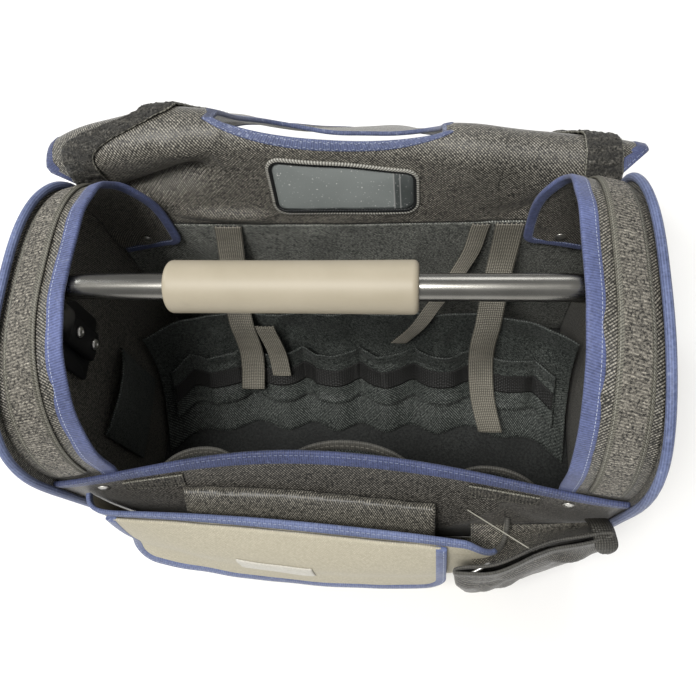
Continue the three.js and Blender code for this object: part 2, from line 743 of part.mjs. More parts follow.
function addHandle() {
  const plateX = innerHalfLength - plateThickness;
  const footX = plateX - gap - footThickness / 2;
  const legX = plateX - gap - tubeDiameter / 2;
  const bendZ = handleHeight - handleBend;
  const ring = (x, z, turn, flat) => {
    const thick = lerp(tubeDiameter, footThickness, flat) / 2;
    const wide = lerp(tubeDiameter, footWidth, flat) / 2;
    return steps(11).map((_, k) => {
      const angle = (2 * Math.PI * k) / 12;
      const square = 1 - 0.5 * flat;
      const round = (value) => Math.sign(value) * Math.pow(Math.abs(value), square);
      const out = thick * round(Math.cos(angle));
      return V(x - out * Math.sin(turn), wide * round(Math.sin(angle)), z + out * Math.cos(turn));
    });
  };
  const leg = legStations.map(({ drop, flat }) => ({
    x: lerp(legX, footX, flat), z: lerp(bendZ, footHeight, drop), flat,
  }));
  const end = (side) => [
    ...leg.slice().reverse().map(({ x, z, flat }) => ring(side * x, z, (-side * Math.PI) / 2, flat)),
    ...steps(4).map((u) => {
      const turn = ((1 - u) * Math.PI) / 2;
      const x = legX - handleBend + handleBend * Math.sin(turn);
      return ring(side * x, bendZ + handleBend * Math.cos(turn), -side * turn, 0);
    }),
  ];
  const right = end(1).reverse();
  add("handle_tube", loft([...end(-1), ...right]), cloths.steel);

  const bore = tubeDiameter / 2 + gap + 0.1;
  const radius = gripDiameter / 2;
  const profile = [
    [bore, 0], [radius - gripChamfer, 0], [radius - 1, gripChamfer * 0.4], [radius, gripChamfer],
    [radius, gripLength - gripChamfer], [radius - 1, gripLength - gripChamfer * 0.4],
    [radius - gripChamfer, gripLength], [bore, gripLength], [bore, 0],
  ].map(([r, h]) => new THREE.Vector2(r, h));
  const grip = new THREE.LatheGeometry(profile, 24).rotateZ(-Math.PI / 2);
  add("handle_grip", grip, cloths.rubber, V(gripLeft, 0, handleHeight));

  for (const [name, side] of sides) {
    const plate = new THREE.BoxGeometry(plateThickness, plateWidth, plateHeight);
    const middle = side * (innerHalfLength - plateThickness / 2);
    const centre = V(middle, 0, footHeight + plateHeight / 2 - 8);
    add(name + "_handle_plate", plate, cloths.plastic, centre);
    for (const [place, up] of [["lower", 0], ["upper", 1]]) {
      const head = new THREE.CylinderGeometry(screwDiameter / 2 - 1, screwDiameter / 2, screwHeadHeight, 12);
      head.rotateZ(side * Math.PI / 2);
      const inside = footX - footThickness / 2 - gap - screwHeadHeight / 2;
      const z = footHeight + screwDiameter / 2 + 2 + up * screwSpacing;
      add(name + "_" + place + "_screw", head, cloths.steel, V(side * inside, 0, z));
    }
  }
}

// A rivet head seated on a face of a surface, at the point (a, b): side is 1 on the face the normal
// leaves from and -1 on the other one.
function addRivet(name, surface, a, b, side, offset) {
  const low = raised(surface, a, b, false, side * (offset + seat));
  const high = raised(surface, a, b, false, side * (offset + seat + rivetHeight));
  const head = new THREE.CylinderGeometry(rivetDiameter / 2 - 0.8, rivetDiameter / 2, rivetHeight, 10);
  const out = high.clone().sub(low).normalize();
  head.applyQuaternion(new THREE.Quaternion().setFromUnitVectors(V(0, 1, 0), out));
  add(name, head, cloths.steel, low.add(high).multiplyScalar(0.5));
}

function addRivets() {
  addRivet("left_front_rivet", frontSurface, -190, 221, 1, cloth / 2);
  addRivet("right_front_rivet", frontSurface, 183, 221, 1, cloth / 2);
  for (const [name, side] of sides) {
    addRivet(name + "_ear_rivet", stripSurface(side), 180 + earLength / 2, 34, -side, stripCloth / 2);
  }
}

// ---- the front ----

// How far the bulging pocket stands off the front wall: a little at its left end, more to the
// right, most at half height, and nothing at its ends and its foot.
function pocketStandOff(x, z) {
  const k = clamp((2 * (x - pocketLeft)) / (pocketRight - pocketLeft) - 1, -1, 1);
  const right = (k + 1) / 2;
  const up = Math.max((z - pocketBottom) / (pocketTop - pocketBottom), 0);
  const ends = Math.pow(Math.max(1 - Math.pow(Math.abs(k), 16), 0), 0.5);
  const foot = Math.sqrt(Math.max(1 - Math.pow(1 - Math.min(up / 0.22, 1), 2), 0));
  const mouth = lerp(pocketMouthLeft, pocketMouthRight, right) + pocketMouthBow * (1 - k * k);
  const bulge = lerp(pocketBulgeLeft, pocketBulgeRight, right);
  return (mouth + bulge * Math.sin(Math.PI * Math.pow(Math.min(up, 1), 0.9))) * ends * foot;
}

const pocketSeat = cloth / 2 + seat + pocketCloth / 2;
const pocketSurface = (x, z) => V(x, frontY(x, z) - pocketSeat - pocketStandOff(x, z), z);

const pocketColumns = [
  -1, -0.995, -0.985, -0.96, -0.92, ...steps(9).map((u) => lerp(-0.84, 0.84, u)), 0.92, 0.96, 0.985, 0.995, 1,
];
const pocketRows = [0, 0.02, 0.06, 0.13, 0.25, 0.45, 0.65, 0.84, 1];

function addFrontPocket() {
  const last = pocketColumns.length - 1;
  const pocketX = (u) => lerp(pocketLeft, pocketRight, (pocketColumns[Math.round(u * last)] + 1) / 2);
  const flat = { surface: pocketSurface, columns: last };
  const region = (u, v) => {
    const share = pocketRows[Math.round(v * (pocketRows.length - 1))];
    return [pocketX(u), lerp(pocketBottom, pocketTop, share)];
  };
  const faces = { from: -pocketCloth / 2, to: pocketCloth / 2 };
  add("front_pocket", sheet({ ...flat, ...faces, region, rows: pocketRows.length - 1 }), cloths.khaki);
  const tape = (u, v) => [pocketX(u), pocketTop + gap + v * pocketBindingHeight];
  const thick = { from: -pocketCloth / 2, to: bindingThickness - pocketCloth / 2, rows: 1 };
  add("front_pocket_binding", sheet({ ...flat, ...thick, region: tape }), cloths.binding);
}

// The flap's outline from the top of its left side round the bottom to the top of its right side.
function flapOutline(inset) {
  const [left, right] = [flapLeft + inset, flapRight - inset];
  const bottom = flapBottom + inset;
  const radius = flapCorner - inset;
  const corner = (x, from) =>
    steps(4).map((k) => {
      const turn = from + (k * Math.PI) / 2;
      return [x + radius * Math.cos(turn), bottom + radius + radius * Math.sin(turn)];
    });
  return [
    ...[0, 1 / 3, 2 / 3].map((u) => [left, lerp(flapTop, bottom + radius, u)]),
    ...corner(left + radius, Math.PI),
    ...steps(8).slice(1, -1).map((u) => [lerp(left + radius, right - radius, u), bottom]),
    ...corner(right - radius, (3 * Math.PI) / 2),
    ...[1 / 3, 2 / 3, 1].map((u) => [right, lerp(bottom + radius, flapTop, u)]),
  ];
}

function addFlap() {
  const edge = flapOutline(flapBindingWidth + 0.5);
  const bottom = edge.slice(3, -3);
  const low = pocketCloth / 2 + flapSeat;
  const body = {
    surface: pocketSurface, from: low, to: low + flapCloth, columns: bottom.length - 1, rows: 5,
    region: (u, v) => {
      const [x, z] = bottom[Math.round(u * (bottom.length - 1))];
      return [x, lerp(z, flapTop, v)];
    },
  };
  add("pocket_flap", sheet(body), cloths.khaki);
  const outer = flapOutline(0);
  const inner = flapOutline(flapBindingWidth);
  const tape = {
    surface: pocketSurface, from: low - flapTapeUnder, to: low + flapCloth + flapTapeOver,
    columns: outer.length - 1, rows: 1,
    region: (u, v) => {
      const i = Math.round(u * (outer.length - 1));
      return [lerp(outer[i][0], inner[i][0], v), lerp(outer[i][1], inner[i][1], v)];
    },
  };
  add("pocket_flap_binding", sheet(tape), cloths.binding);
  const on = low + flapCloth + seat;
  const label = {
    surface: pocketSurface, from: on, to: on + labelThickness, columns: 4, rows: 2,
    region: block(labelLeft, labelLeft + labelWidth, labelBottom, labelBottom + labelHeight),
  };
  add("label_patch", sheet(label), cloths.khaki);
}

const loopPatches = [
  { name: "left_front_loop_patch", left: -172, width: 50 },
  { name: "right_front_loop_patch", left: 108, width: 54 },
];

function addFrontTrim() {
  const on = cloth / 2 + seat;
  for (const { name, left, width } of loopPatches) {
    const region = block(left, left + width, patchTop - patchHeight, patchTop);
    const pile = { surface: frontSurface, region, from: on, to: on + pileThickness, columns: 3, rows: 1 };
    add(name, sheet(pile), cloths.hook);
  }
  const swell = (u, v) => barSwell * Math.pow(Math.sin(Math.PI * clamp(v, 0.001, 0.999)), 0.6);
  const barTop = barBottom + barHeight;
  const bar = {
    surface: frontSurface, columns: 12, rows: 4, from: on, to: on + barCloth,
    region: (u, v) => [lerp(barLeft, barRight, u), lerp(barBottom, barTop - barFall * u, v)],
    lift: swell,
  };
  add("closure_bar", sheet(bar), cloths.nylon);
}

// The open pouch at the right end of the front: a flat pouch on edge, turned to the corner, wider
// at its mouth.
function addPouch() {
  const place = new THREE.Matrix4().makeRotationZ(pouchTurn);
  place.setPosition(pouchX, pouchY, 0);
  const ring = (z, inset) => {
    const up = (z - pouchTop + pouchHeight) / pouchHeight;
    const half = pouchLength / 2 * lerp(0.78, 1, up) - inset;
    const deep = pouchThickness / 2 * lerp(0.7, 1, up) - inset;
    return steps(19).map((_, k) => {
      const turn = (2 * Math.PI * k) / 20;
      const round = (value) => Math.sign(value) * Math.pow(Math.abs(value), 0.55);
      return V(half * round(Math.cos(turn)), deep * round(Math.sin(turn)), z).applyMatrix4(place);
    });
  };
  const low = pouchTop - pouchHeight;
  const foot = low + pouchWall;
  const body = [
    ring(low, pouchFootInset), ring(low + pouchFootRise, 0), ring(pouchTop - gap, 0),
    ring(pouchTop - gap, pouchWall), ring(foot + pouchFootRise, pouchWall), ring(foot, pouchFootInset + pouchWall),
  ];
  add("pouch", loft(body), cloths.nylon);
  const top = pouchTop + pouchBindingHeight;
  const [out, inside] = [-pouchTapeOver, pouchWall + pouchTapeOver];
  const tape = [ring(pouchTop, out), ring(top, out), ring(top, inside), ring(pouchTop, inside)];
  add("pouch_binding", tube(tape), cloths.nylon);

  const pin = new THREE.CylinderGeometry(pouchBarDiameter / 2, pouchBarDiameter / 2, pouchBarLength, 8);
  pin.translate(-pouchLength * 0.37, 0, pouchTop - pouchBarDrop);
  add("pouch_bar", pin.applyMatrix4(place), cloths.steel);

  const near = frontY(pouchTabX - narrowWebbing / 2, pouchTop - 1.5 * webbing) - cloth / 2 - gap;
  const reach = pouchTabX + narrowWebbing / 2 - pouchX;
  const far = pouchY + reach * Math.tan(pouchTurn) + 0.4 * pouchThickness + seat;
  const tab = new THREE.BoxGeometry(narrowWebbing, near - far, webbing);
  add("pouch_tab", tab, cloths.webbing, V(pouchTabX, (near + far) / 2, pouchTop - webbing));
}

// A closed ring through loops that come back to the first one.
function tube(loops) {
  const count = loops[0].length;
  const points = loops.flat();
  const triangles = [];
  loops.forEach((_, k) => {
    const next = (k + 1) % loops.length;
    for (let i = 0; i < count; i++) {
      const j = (i + 1) % count;
      const [a, b, c, d] = [k * count + i, k * count + j, next * count + j, next * count + i];
      triangles.push(a, b, c, a, c, d);
    }
  });
  return outward(points, triangles);
}

// ---- the inside ----

// The pocket panel's slope from its top edge down to the floor of the tote: how far it has dropped
// and come forwards, as shares of its height and of its reach.
const panelSlope = [
  { at: 0, drop: 0, forward: 0 },
  { at: 0.25, drop: 0.25, forward: 0.07 },
  { at: 0.5, drop: 0.48, forward: 0.2 },
  { at: 0.75, drop: 0.72, forward: 0.48 },
  { at: 1, drop: 1, forward: 1 },
];

// The pocket panel along the back: x across, k from its foot (0) to its top edge (1).
function panelSurface(x, height) {
  const at = 1 - height / 100;
  const drop = along(panelSlope, "at", "drop", at);
  const forward = along(panelSlope, "at", "forward", at);
  const corner = Math.pow(clamp((Math.abs(x) - panelCornerStart) / (panelHalfLength - panelCornerStart), 0, 1), 2);
  const foot = baseThickness + gap + 1.4;
  const wave = Math.cos((2 * Math.PI * x) / pocketPitch) * lerp(1, panelWave, clamp(at, 0, 1));
  return V(x, panelTopY - panelReach * forward - panelCorner * corner + wave, lerp(panelTop, foot, drop));
}

function addInside() {
  const columns = 28;
  const flat = { surface: panelSurface, columns };
  const across = (half, low, high) => (u, v) => [lerp(-half, half, u), lerp(low, high, v)];
  const body = {
    ...flat, rows: 6, from: -panelCloth / 2, to: panelCloth / 2, region: across(panelHalfLength, 0, 100),
  };
  add("back_pocket_panel", sheet(body), cloths.lining);
  const pleat = (u) => Math.sin((Math.PI * (2 * u - 1) * panelHalfLength) / pocketPitch);
  const bulge = (u) => pocketRowDepth * Math.pow(Math.abs(pleat(u)), 0.7);
  const rowHalf = panelHalfLength - pocketRowInset;
  const rowSeat = panelCloth / 2 + gap + seat;
  const row = {
    ...flat, rows: 3, from: rowSeat, to: rowSeat + thinCloth, lift: bulge, region: across(rowHalf, 16, 58),
  };
  add("pocket_row", sheet(row), cloths.lining);
  const bandSeat = rowSeat + thinCloth + seat;
  const band = {
    ...flat, rows: 1, from: bandSeat, to: bandSeat + elasticThickness, lift: bulge, region: across(rowHalf, 27, 41),
  };
  add("elastic_band", sheet(band), cloths.webbing);
}

// Webbing that hangs from the back rim and lies over the pocket panel. y and z are the same for all
// of them at each station, as shares of half the rim's depth and of the wall's height, y as if the
// rim were straight. x belongs to the strap, in shares of half the length.
const hang = [
  { at: 0, y: 0.977, z: 0.983 },
  { at: 12, y: 0.95, z: 0.896 },
  { at: 32, y: 0.868, z: 0.75 },
  { at: 50, y: 0.694, z: 0.629 },
  { at: 60, y: 0.554, z: 0.546 },
  { at: 70, y: 0.479, z: 0.467 },
  { at: 80, y: 0.413, z: 0.383 },
  { at: 90, y: 0.314, z: 0.308 },
  { at: 100, y: 0.182, z: 0.25 },
  { at: 112, y: 0.033, z: 0.192 },
  { at: 124, y: -0.116, z: 0.15 },
];

const straps = [
  { name: "left_strap", width: webbing, start: 0, end: 100, across: [-0.471, -0.502, -0.515, -0.493, -0.507] },
  { name: "left_strap_loop", width: loopWebbing, start: 60, end: 92, across: [-0.405, -0.374, -0.361] },
  { name: "right_narrow_strap", width: narrowWebbing, start: 0, end: 70, across: [0.524, 0.485, 0.379, 0.194] },
  {
    name: "right_wide_strap", width: webbing, start: 0, end: 124,
    across: [0.634, 0.621, 0.595, 0.564, 0.573, 0.617],
  },
];

function addStraps() {
  for (const { name, width, start, end, across } of straps) {
    const step = (end - start) / (across.length - 1);
    const rows = across.map((share, i) => ({ at: start + i * step, x: share * halfLength }));
    const surface = (x, a) => {
      const middle = along(rows, "at", "x", a);
      const rim = backY(middle, wallHeight) - halfRim;
      return V(middle + x, rim + halfRim * along(hang, "at", "y", a), wallHeight * along(hang, "at", "z", a));
    };
    const stations = hang.filter(({ at }) => at > start && at < end).map(({ at }) => at);
    const places = [start, ...stations, end];
    const band = {
      surface, columns: 1, rows: places.length - 1, from: -webbingThickness / 2, to: webbingThickness / 2,
      region: (u, v) => [lerp(-width, width, u) / 2, places[Math.round(v * (places.length - 1))]],
    };
    add(name, sheet(band), cloths.webbing);
  }
}

// The pockets inside the front wall, each with a mouth that stands off the wall, and the one on the
// left side panel. left and right are shares of the wall's own length, low and high of the wall's
// height, and reach is how far the mouth stands off, as a share of innerPocketReach.
const innerPockets = [
  { name: "left_inner_pocket", left: -0.335, right: -0.159, low: 0.492, high: 0.925, reach: 0.83 },
  { name: "middle_inner_pocket", left: -0.115, right: 0.167, low: 0.492, high: 0.925, reach: 1 },
  { name: "right_inner_pocket", left: 0.194, right: 0.37, low: 0.492, high: 0.908, reach: 0.75 },
];
const sidePocket = { left: -0.256, right: 0.099, low: 0.292, high: 0.742, reach: 0.5 };

function innerPocket(shares, wallLength, wall) {
  const columns = 10;
  const [left, right] = [shares.left * wallLength, shares.right * wallLength];
  const [low, high] = [shares.low * wallHeight, shares.high * wallHeight];
  const surface = (p, z) => {
    const k = clamp((2 * (p - left)) / (right - left) - 1, -1, 1);
    const up = clamp((z - low) / (high - low), 0, 1.2);
    return wall(p, z, shares.reach * innerPocketReach * Math.pow(1 - k * k, 0.6) * Math.pow(up, 0.8));
  };
  const region = (u, v) => {
    const k = -Math.cos(Math.PI * u);
    const edge = high - innerPocketShoulder * Math.pow(Math.abs(k), 3);
    return [lerp(left, right, (k + 1) / 2), lerp(low, edge, v)];
  };
  return sheet({ surface, region, columns, rows: 4, from: -pocketLining / 2, to: pocketLining / 2 });
}

function addInnerPockets() {
  const off = cloth / 2 + seat + pocketLining / 2;
  const onFront = (x, z, out) => V(x, frontY(x, z) + off + out, z);
  for (const pocket of innerPockets) add(pocket.name, innerPocket(pocket, length, onFront), cloths.lining);
  const onSide = (y, z, out) => V(-innerHalfLength + pocketLining / 2 + sideSeat + out, y, z);
  add("left_side_pocket", innerPocket(sidePocket, rimDepth, onSide), cloths.lining);
  const tab = new THREE.BoxGeometry(2 * webbingThickness, narrowWebbing, webbing);
  add("left_side_tab", tab, cloths.webbing, V(-halfLength - gap - webbingThickness, -4, wallHeight + tabRise));
}

addWalls();
addSidePanels();
addStrips();
addLid();
addHandle();
addRivets();
addFrontPocket();
addFlap();
addFrontTrim();
addPouch();
addInside();
addInnerPockets();
addStraps();

export default tote;
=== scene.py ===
# %% [markdown]
# # Dressing an open top tool tote
# The CAD part gives the tote's solids: cloth walls, arched sides, a lid thrown back over the back
# wall, a steel handle and many small pieces. This lesson builds the looks around those solids.
# Each piece of cloth is worked out again as a smooth surface with numpy, given its real thickness,
# its bindings and its folds, and then a material made of nodes.

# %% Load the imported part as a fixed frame
import math
import bmesh
import bpy
import numpy as np
from mathutils import Matrix


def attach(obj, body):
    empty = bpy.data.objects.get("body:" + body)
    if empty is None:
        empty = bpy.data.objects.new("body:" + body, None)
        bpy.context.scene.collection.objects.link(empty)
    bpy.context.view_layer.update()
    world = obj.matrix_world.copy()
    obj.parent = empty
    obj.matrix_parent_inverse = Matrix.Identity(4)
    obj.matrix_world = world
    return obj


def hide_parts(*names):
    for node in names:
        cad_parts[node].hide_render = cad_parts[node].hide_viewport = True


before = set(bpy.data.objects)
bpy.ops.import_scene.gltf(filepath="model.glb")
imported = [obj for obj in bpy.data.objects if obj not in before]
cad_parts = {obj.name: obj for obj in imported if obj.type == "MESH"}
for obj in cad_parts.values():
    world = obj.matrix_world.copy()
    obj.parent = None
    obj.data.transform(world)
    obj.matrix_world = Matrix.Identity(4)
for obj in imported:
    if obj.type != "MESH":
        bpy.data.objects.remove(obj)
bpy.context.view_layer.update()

MM = 0.001

# %% [markdown]
# ## The camera
# The photograph looks steeply down into the open tote from in front of it, with the tote turned a
# little to the left. A camera fitted to the rims, arches and handle gives this place and these
# three angles. Blender's camera looks along its own -Z, so the third column is turned round.

# %% Make the camera
camera_place = np.array([78.49, -213.07, 792.23]) * MM
camera_yaw, camera_dip, camera_roll = 0.31668, 1.18585, -0.28230
photo_side, focal_pixels, sensor = 696, 719.48, 36.0


def add(name, data):
    """A new object in the scene."""
    thing = bpy.data.objects.new(name, data)
    bpy.context.collection.objects.link(thing)
    return thing


def pose(right, up, back, place):
    """The matrix whose columns are three axes and a place."""
    columns = np.eye(4)
    columns[:3] = np.stack([right, up, back, place], -1)
    return Matrix(columns.tolist())


def camera_axes(yaw, dip, roll):
    """Right, up and forward: level and turned by yaw, tipped down by dip, then rolled."""
    level = np.array([-math.sin(yaw), math.cos(yaw), 0])
    right = np.array([math.cos(yaw), math.sin(yaw), 0])
    forward = level * math.cos(dip) + np.array([0, 0, -math.sin(dip)])
    up = level * math.sin(dip) + np.array([0, 0, math.cos(dip)])
    c, s = math.cos(roll), math.sin(roll)
    return c * right + s * up, -s * right + c * up, forward


right, up, forward = camera_axes(camera_yaw, camera_dip, camera_roll)
camera = add("camera", bpy.data.cameras.new("camera"))
camera.data.sensor_width = sensor
camera.data.lens = focal_pixels * sensor / photo_side
camera.data.clip_start, camera.data.clip_end = 0.01, 50
camera.matrix_world = pose(right, up, -forward, camera_place)
bpy.context.scene.camera = camera
print("lens", round(camera.data.lens, 2), "mm at", np.round(camera_place, 3).tolist())

# %% [markdown]
# ## Shader sums as Python sums
# A material's pattern is arithmetic on positions: stripes, dashes, threads. Linking a Math node for
# each sum by hand is slow to read, so a small class holds one socket and turns Python's own
# operators into Math nodes. `1 - mask` works too, through the reflected forms.

# %% A number that lives in a material
class Number:
    def __init__(self, finish, socket):
        self.finish, self.socket = finish, socket

    def math(self, operation, *others):
        return self.finish.math(operation, self, *others)

    def flipped(self, operation, other):
        return self.finish.math(operation, other, self)

    def __add__(self, other): return self.math("ADD", other)
    def __sub__(self, other): return self.math("SUBTRACT", other)
    def __mul__(self, other): return self.math("MULTIPLY", other)
    def __truediv__(self, other): return self.math("DIVIDE", other)
    def __lt__(self, other): return self.math("LESS_THAN", other)
    def __gt__(self, other): return self.math("GREATER_THAN", other)
    def __radd__(self, other): return self.flipped("ADD", other)
    def __rsub__(self, other): return self.flipped("SUBTRACT", other)
    def __rmul__(self, other): return self.flipped("MULTIPLY", other)
    def sin(self): return self.math("SINE")
    def abs(self): return self.math("ABSOLUTE")
    def fraction(self): return self.math("FRACT")
    def floor(self): return self.math("FLOOR")
    def least(self, other): return self.math("MINIMUM", other)
    def most(self, other): return self.math("MAXIMUM", other)

    def wave(self, pitch):
        """From 0 to 1 and back once in every pitch."""
        return (self * (2 * math.pi / pitch)).sin() * 0.5 + 0.5

    def between(self, low, high):
        """0 below low, 1 above high and a straight climb in between."""
        settings = {0: self, 1: low, 2: high, 3: 0.0, 4: 1.0}
        return self.finish.node("ShaderNodeMapRange", settings, clamp=True)


# %% A material that is built by calls
class Finish:
    """One material. node() makes any node: its settings first, then its sockets' values or links."""

    def __init__(self, name, **fixed):
        self.material = bpy.data.materials.new(name)
        self.material.use_nodes = True
        self.tree = self.material.node_tree
        self.shader = self.tree.nodes["Principled BSDF"]
        for socket, value in fixed.items():
            self.shader.inputs[socket.replace("_", " ")].default_value = value

    def node(self, kind, inputs=None, out=0, **settings):
        made = self.tree.nodes.new(kind)
        for name, value in settings.items():
            setattr(made, name, value)
        for socket, value in (inputs or {}).items():
            if isinstance(value, Number):
                self.tree.links.new(value.socket, made.inputs[socket])
            else:
                made.inputs[socket].default_value = value
        return Number(self, made.outputs[out])

    def math(self, operation, *values):
        return self.node("ShaderNodeMath", dict(enumerate(values)), operation=operation)

    def flat(self):
        """The piece's own flat coordinates in millimetres: along it, across it."""
        uv = self.node("ShaderNodeUVMap", uv_map="flat")
        split = self.tree.nodes.new("ShaderNodeSeparateXYZ")
        self.tree.links.new(uv.socket, split.inputs[0])
        return Number(self, split.outputs[0]) * 1000, Number(self, split.outputs[1]) * 1000

    def place(self):
        """Object coordinates, in metres."""
        return self.node("ShaderNodeTexCoord", out="Object")

    def noise(self, scale, detail=2.0, rough=0.5, at=None):
        """Cloudy values round 0.5, with scale clouds to the metre, at object coordinates."""
        inputs = {"Vector": at or self.place(), "Scale": scale, "Detail": detail, "Roughness": rough}
        return self.node("ShaderNodeTexNoise", inputs, noise_dimensions="3D")

    def colour(self, value):
        return (*value, 1.0) if isinstance(value, tuple) else value

    def mix(self, a, b, share):
        inputs = {0: share, 6: self.colour(a), 7: self.colour(b)}
        return self.node("ShaderNodeMix", inputs, out=2, data_type="RGBA")

    def paint(self, **links):
        for socket, value in links.items():
            self.tree.links.new(value.socket, self.shader.inputs[socket.replace("_", " ")])
        return self.material

    def bump(self, height, deep):
        """Relief deep metres high where height goes from 0 to 1."""
        return self.node("ShaderNodeBump", {"Height": height, "Distance": deep, "Strength": 1.0})


print("number and finish classes are ready")

# %% [markdown]
# ## The cloths
# The outer cloth is a heavy nylon in a diagonal weave, charcoal with paler threads where it is
# rubbed. A weave is a height pattern on the piece's own flat coordinates: two waves that run
# diagonally against each other give the twill line and the thread ends. The same height drives the
# colour and the bump, so light and dark threads sit where the relief is.

# %% Woven cloth
def woven(name, dark, light, pitch=2.4, relief=0.0004, rough=0.4, dust=(0.3, 0.27, 0.22), dusty=0.12):
    """Two diagonal waves multiplied give rows of thread ends; noise makes single threads paler."""
    f = Finish(name, Specular_IOR_Level=0.5, Sheen_Weight=0.08, Sheen_Roughness=0.4)
    u, v = f.flat()
    wobble = f.noise(9.0, 1.0) * 0.5
    twill, ends = (u + v + wobble).wave(pitch), (u - v).wave(1.25 * pitch)
    single = f.noise(480.0, 2.0, 0.8).between(0.36, 0.64)
    thread = twill * (ends * 0.6 + 0.4) * (single * 0.92 + 0.08)
    patch = f.noise(12.0, 4.0, 0.6)
    base = f.mix(dark, light, thread * (patch * 0.8 + 0.6))
    worn = f.noise(5.0, 3.0).between(0.5, 0.75) * dusty
    colour = f.mix(base, dust, worn * thread)
    shine = patch * 0.16 + (rough - 0.08)
    return f.paint(Base_Color=colour, Roughness=shine, Normal=f.bump(thread, relief))


outer_cloth = woven("charcoal nylon", (0.006, 0.006, 0.0056), (0.57, 0.535, 0.45))
# The front wall is the same charcoal nylon with dimmer pale threads. This darker copy is painted shade, for
# the wall that lies in the shade of the pocket and the pouch.
front_cloth_painted_shade = woven("front wall nylon, painted shade", (0.006, 0.006, 0.0056), (0.34, 0.315, 0.27))
inner_cloth = woven("dark lining", (0.011, 0.013, 0.0125), (0.8, 0.82, 0.73), 2.3, 0.0003, 0.55)
panel_cloth = woven("pocket panel cloth", (0.005, 0.007, 0.007), (0.29, 0.32, 0.29), 2.3, 0.0003, 0.55)
khaki_cloth = woven(
    "khaki cloth", (0.40, 0.365, 0.275), (0.66, 0.62, 0.49), 1.9, 0.00008, 0.8, (0.3, 0.27, 0.2), 0.3,
)
label_cloth = woven("label cloth", (0.5, 0.48, 0.42), (0.8, 0.78, 0.72), 1.5, 0.00008, 0.7)


def floor_weave():
    """A plain dark weave on object coordinates, for a solid that has no flat coordinates."""
    f = Finish("floor cloth", Roughness=0.7)
    weave = f.noise(420.0, 2.0, 0.7).between(0.35, 0.7)
    patch = f.noise(14.0, 3.0)
    colour = f.mix((0.004, 0.005, 0.005), (0.05, 0.055, 0.05), weave * patch)
    return f.paint(Base_Color=colour, Normal=f.bump(weave, 0.0003))


floor_cloth = floor_weave()
print("cloths:", outer_cloth.name, inner_cloth.name, panel_cloth.name, khaki_cloth.name)

# %% [markdown]
# ## Binding tape and webbing
# The edges are bound with a ribbed blue tape, sewn with a pale thread. Its flat coordinates run
# along the tape and across it, so a row of stitches is a band across which the length is cut into
# dashes. Webbing is a basket weave: each cell of a checkerboard shows a thread running one way.

# %% Tape with rows of stitches
PALE_THREAD = (0.5, 0.55, 0.68)


def ribbon_tape(name, dark, light, rows, thread=PALE_THREAD, stitch=4.2, zigzag=0.0, fuzz=0.15, bold=0.32):
    """rows are the places of the stitch rows across the tape, in millimetres from its middle."""
    f = Finish(name, Sheen_Weight=0.1)
    u, v = f.flat()
    rib = u.wave(1.9)
    grain = f.noise(420.0, 2.0, 0.7).between(0.3, 0.75)
    patch = f.noise(18.0, 4.0, 0.6).between(0.25, 0.75)
    base = f.mix(dark, light, rib * 0.3 + patch * 0.4 + grain * 0.4)
    pale = f.noise(260.0, 2.0).between(0.6, 0.8) * fuzz
    base = f.mix(base, (0.42, 0.47, 0.6), pale)
    mask = None
    for row in rows:
        sway = (u * (math.pi / stitch)).sin() * zigzag
        near = (v - row - sway).abs() < bold
        dash = near * ((u / stitch).fraction() < 0.6)
        mask = dash if mask is None else mask.most(dash)
    colour = f.mix(base, thread, mask * 0.8)
    height = rib * 0.4 + grain * 0.3 + mask * 0.3
    return f.paint(Base_Color=colour, Roughness=patch * 0.2 + 0.5, Normal=f.bump(height, 0.0004))


blue_tape = ribbon_tape(
    "blue binding", (0.005, 0.007, 0.024), (0.085, 0.108, 0.24), (3.2,), (0.3, 0.34, 0.46), bold=0.22,
)
slot_tape = ribbon_tape(
    "slot binding", (0.012, 0.018, 0.05), (0.13, 0.16, 0.30), (-2.4, 2.8), (0.42, 0.46, 0.58),
    stitch=3.2, zigzag=0.5, fuzz=0.6, bold=0.24,
)
pale_tape = ribbon_tape(
    "pale blue binding", (0.02, 0.03, 0.08), (0.19, 0.235, 0.42), (1.8,), fuzz=0.3, bold=0.25,
)
strip_tape = ribbon_tape(
    "strip binding", (0.012, 0.017, 0.05), (0.14, 0.175, 0.37), (-3.4,), stitch=3.0, bold=0.25,
)
dark_tape = ribbon_tape(
    "charcoal binding", (0.006, 0.006, 0.006), (0.1, 0.095, 0.08), (0.0,), (0.22, 0.21, 0.18), fuzz=0.0,
)


# %% Webbing and the fastening pile
def webbing_cloth(name, dark, light):
    """A checkerboard of cells: in every other one the thread runs the other way."""
    f = Finish(name, Roughness=0.5)
    u, v = f.flat()
    cell_u, cell_v = u / 1.9, v / 2.0
    odd = ((cell_u.floor() + cell_v.floor()) * 0.5).fraction() > 0.25
    hump_u, hump_v = (cell_u.fraction() * math.pi).sin(), (cell_v.fraction() * math.pi).sin()
    along_u, along_v = hump_u * (0.55 + 0.45 * hump_v), hump_v * (0.55 + 0.45 * hump_u)
    thread = odd * along_u + (1 - odd) * along_v
    patch = f.noise(30.0, 3.0)
    colour = f.mix(dark, light, thread * (patch * 0.8 + 0.5))
    return f.paint(Base_Color=colour, Normal=f.bump(thread, 0.0006))


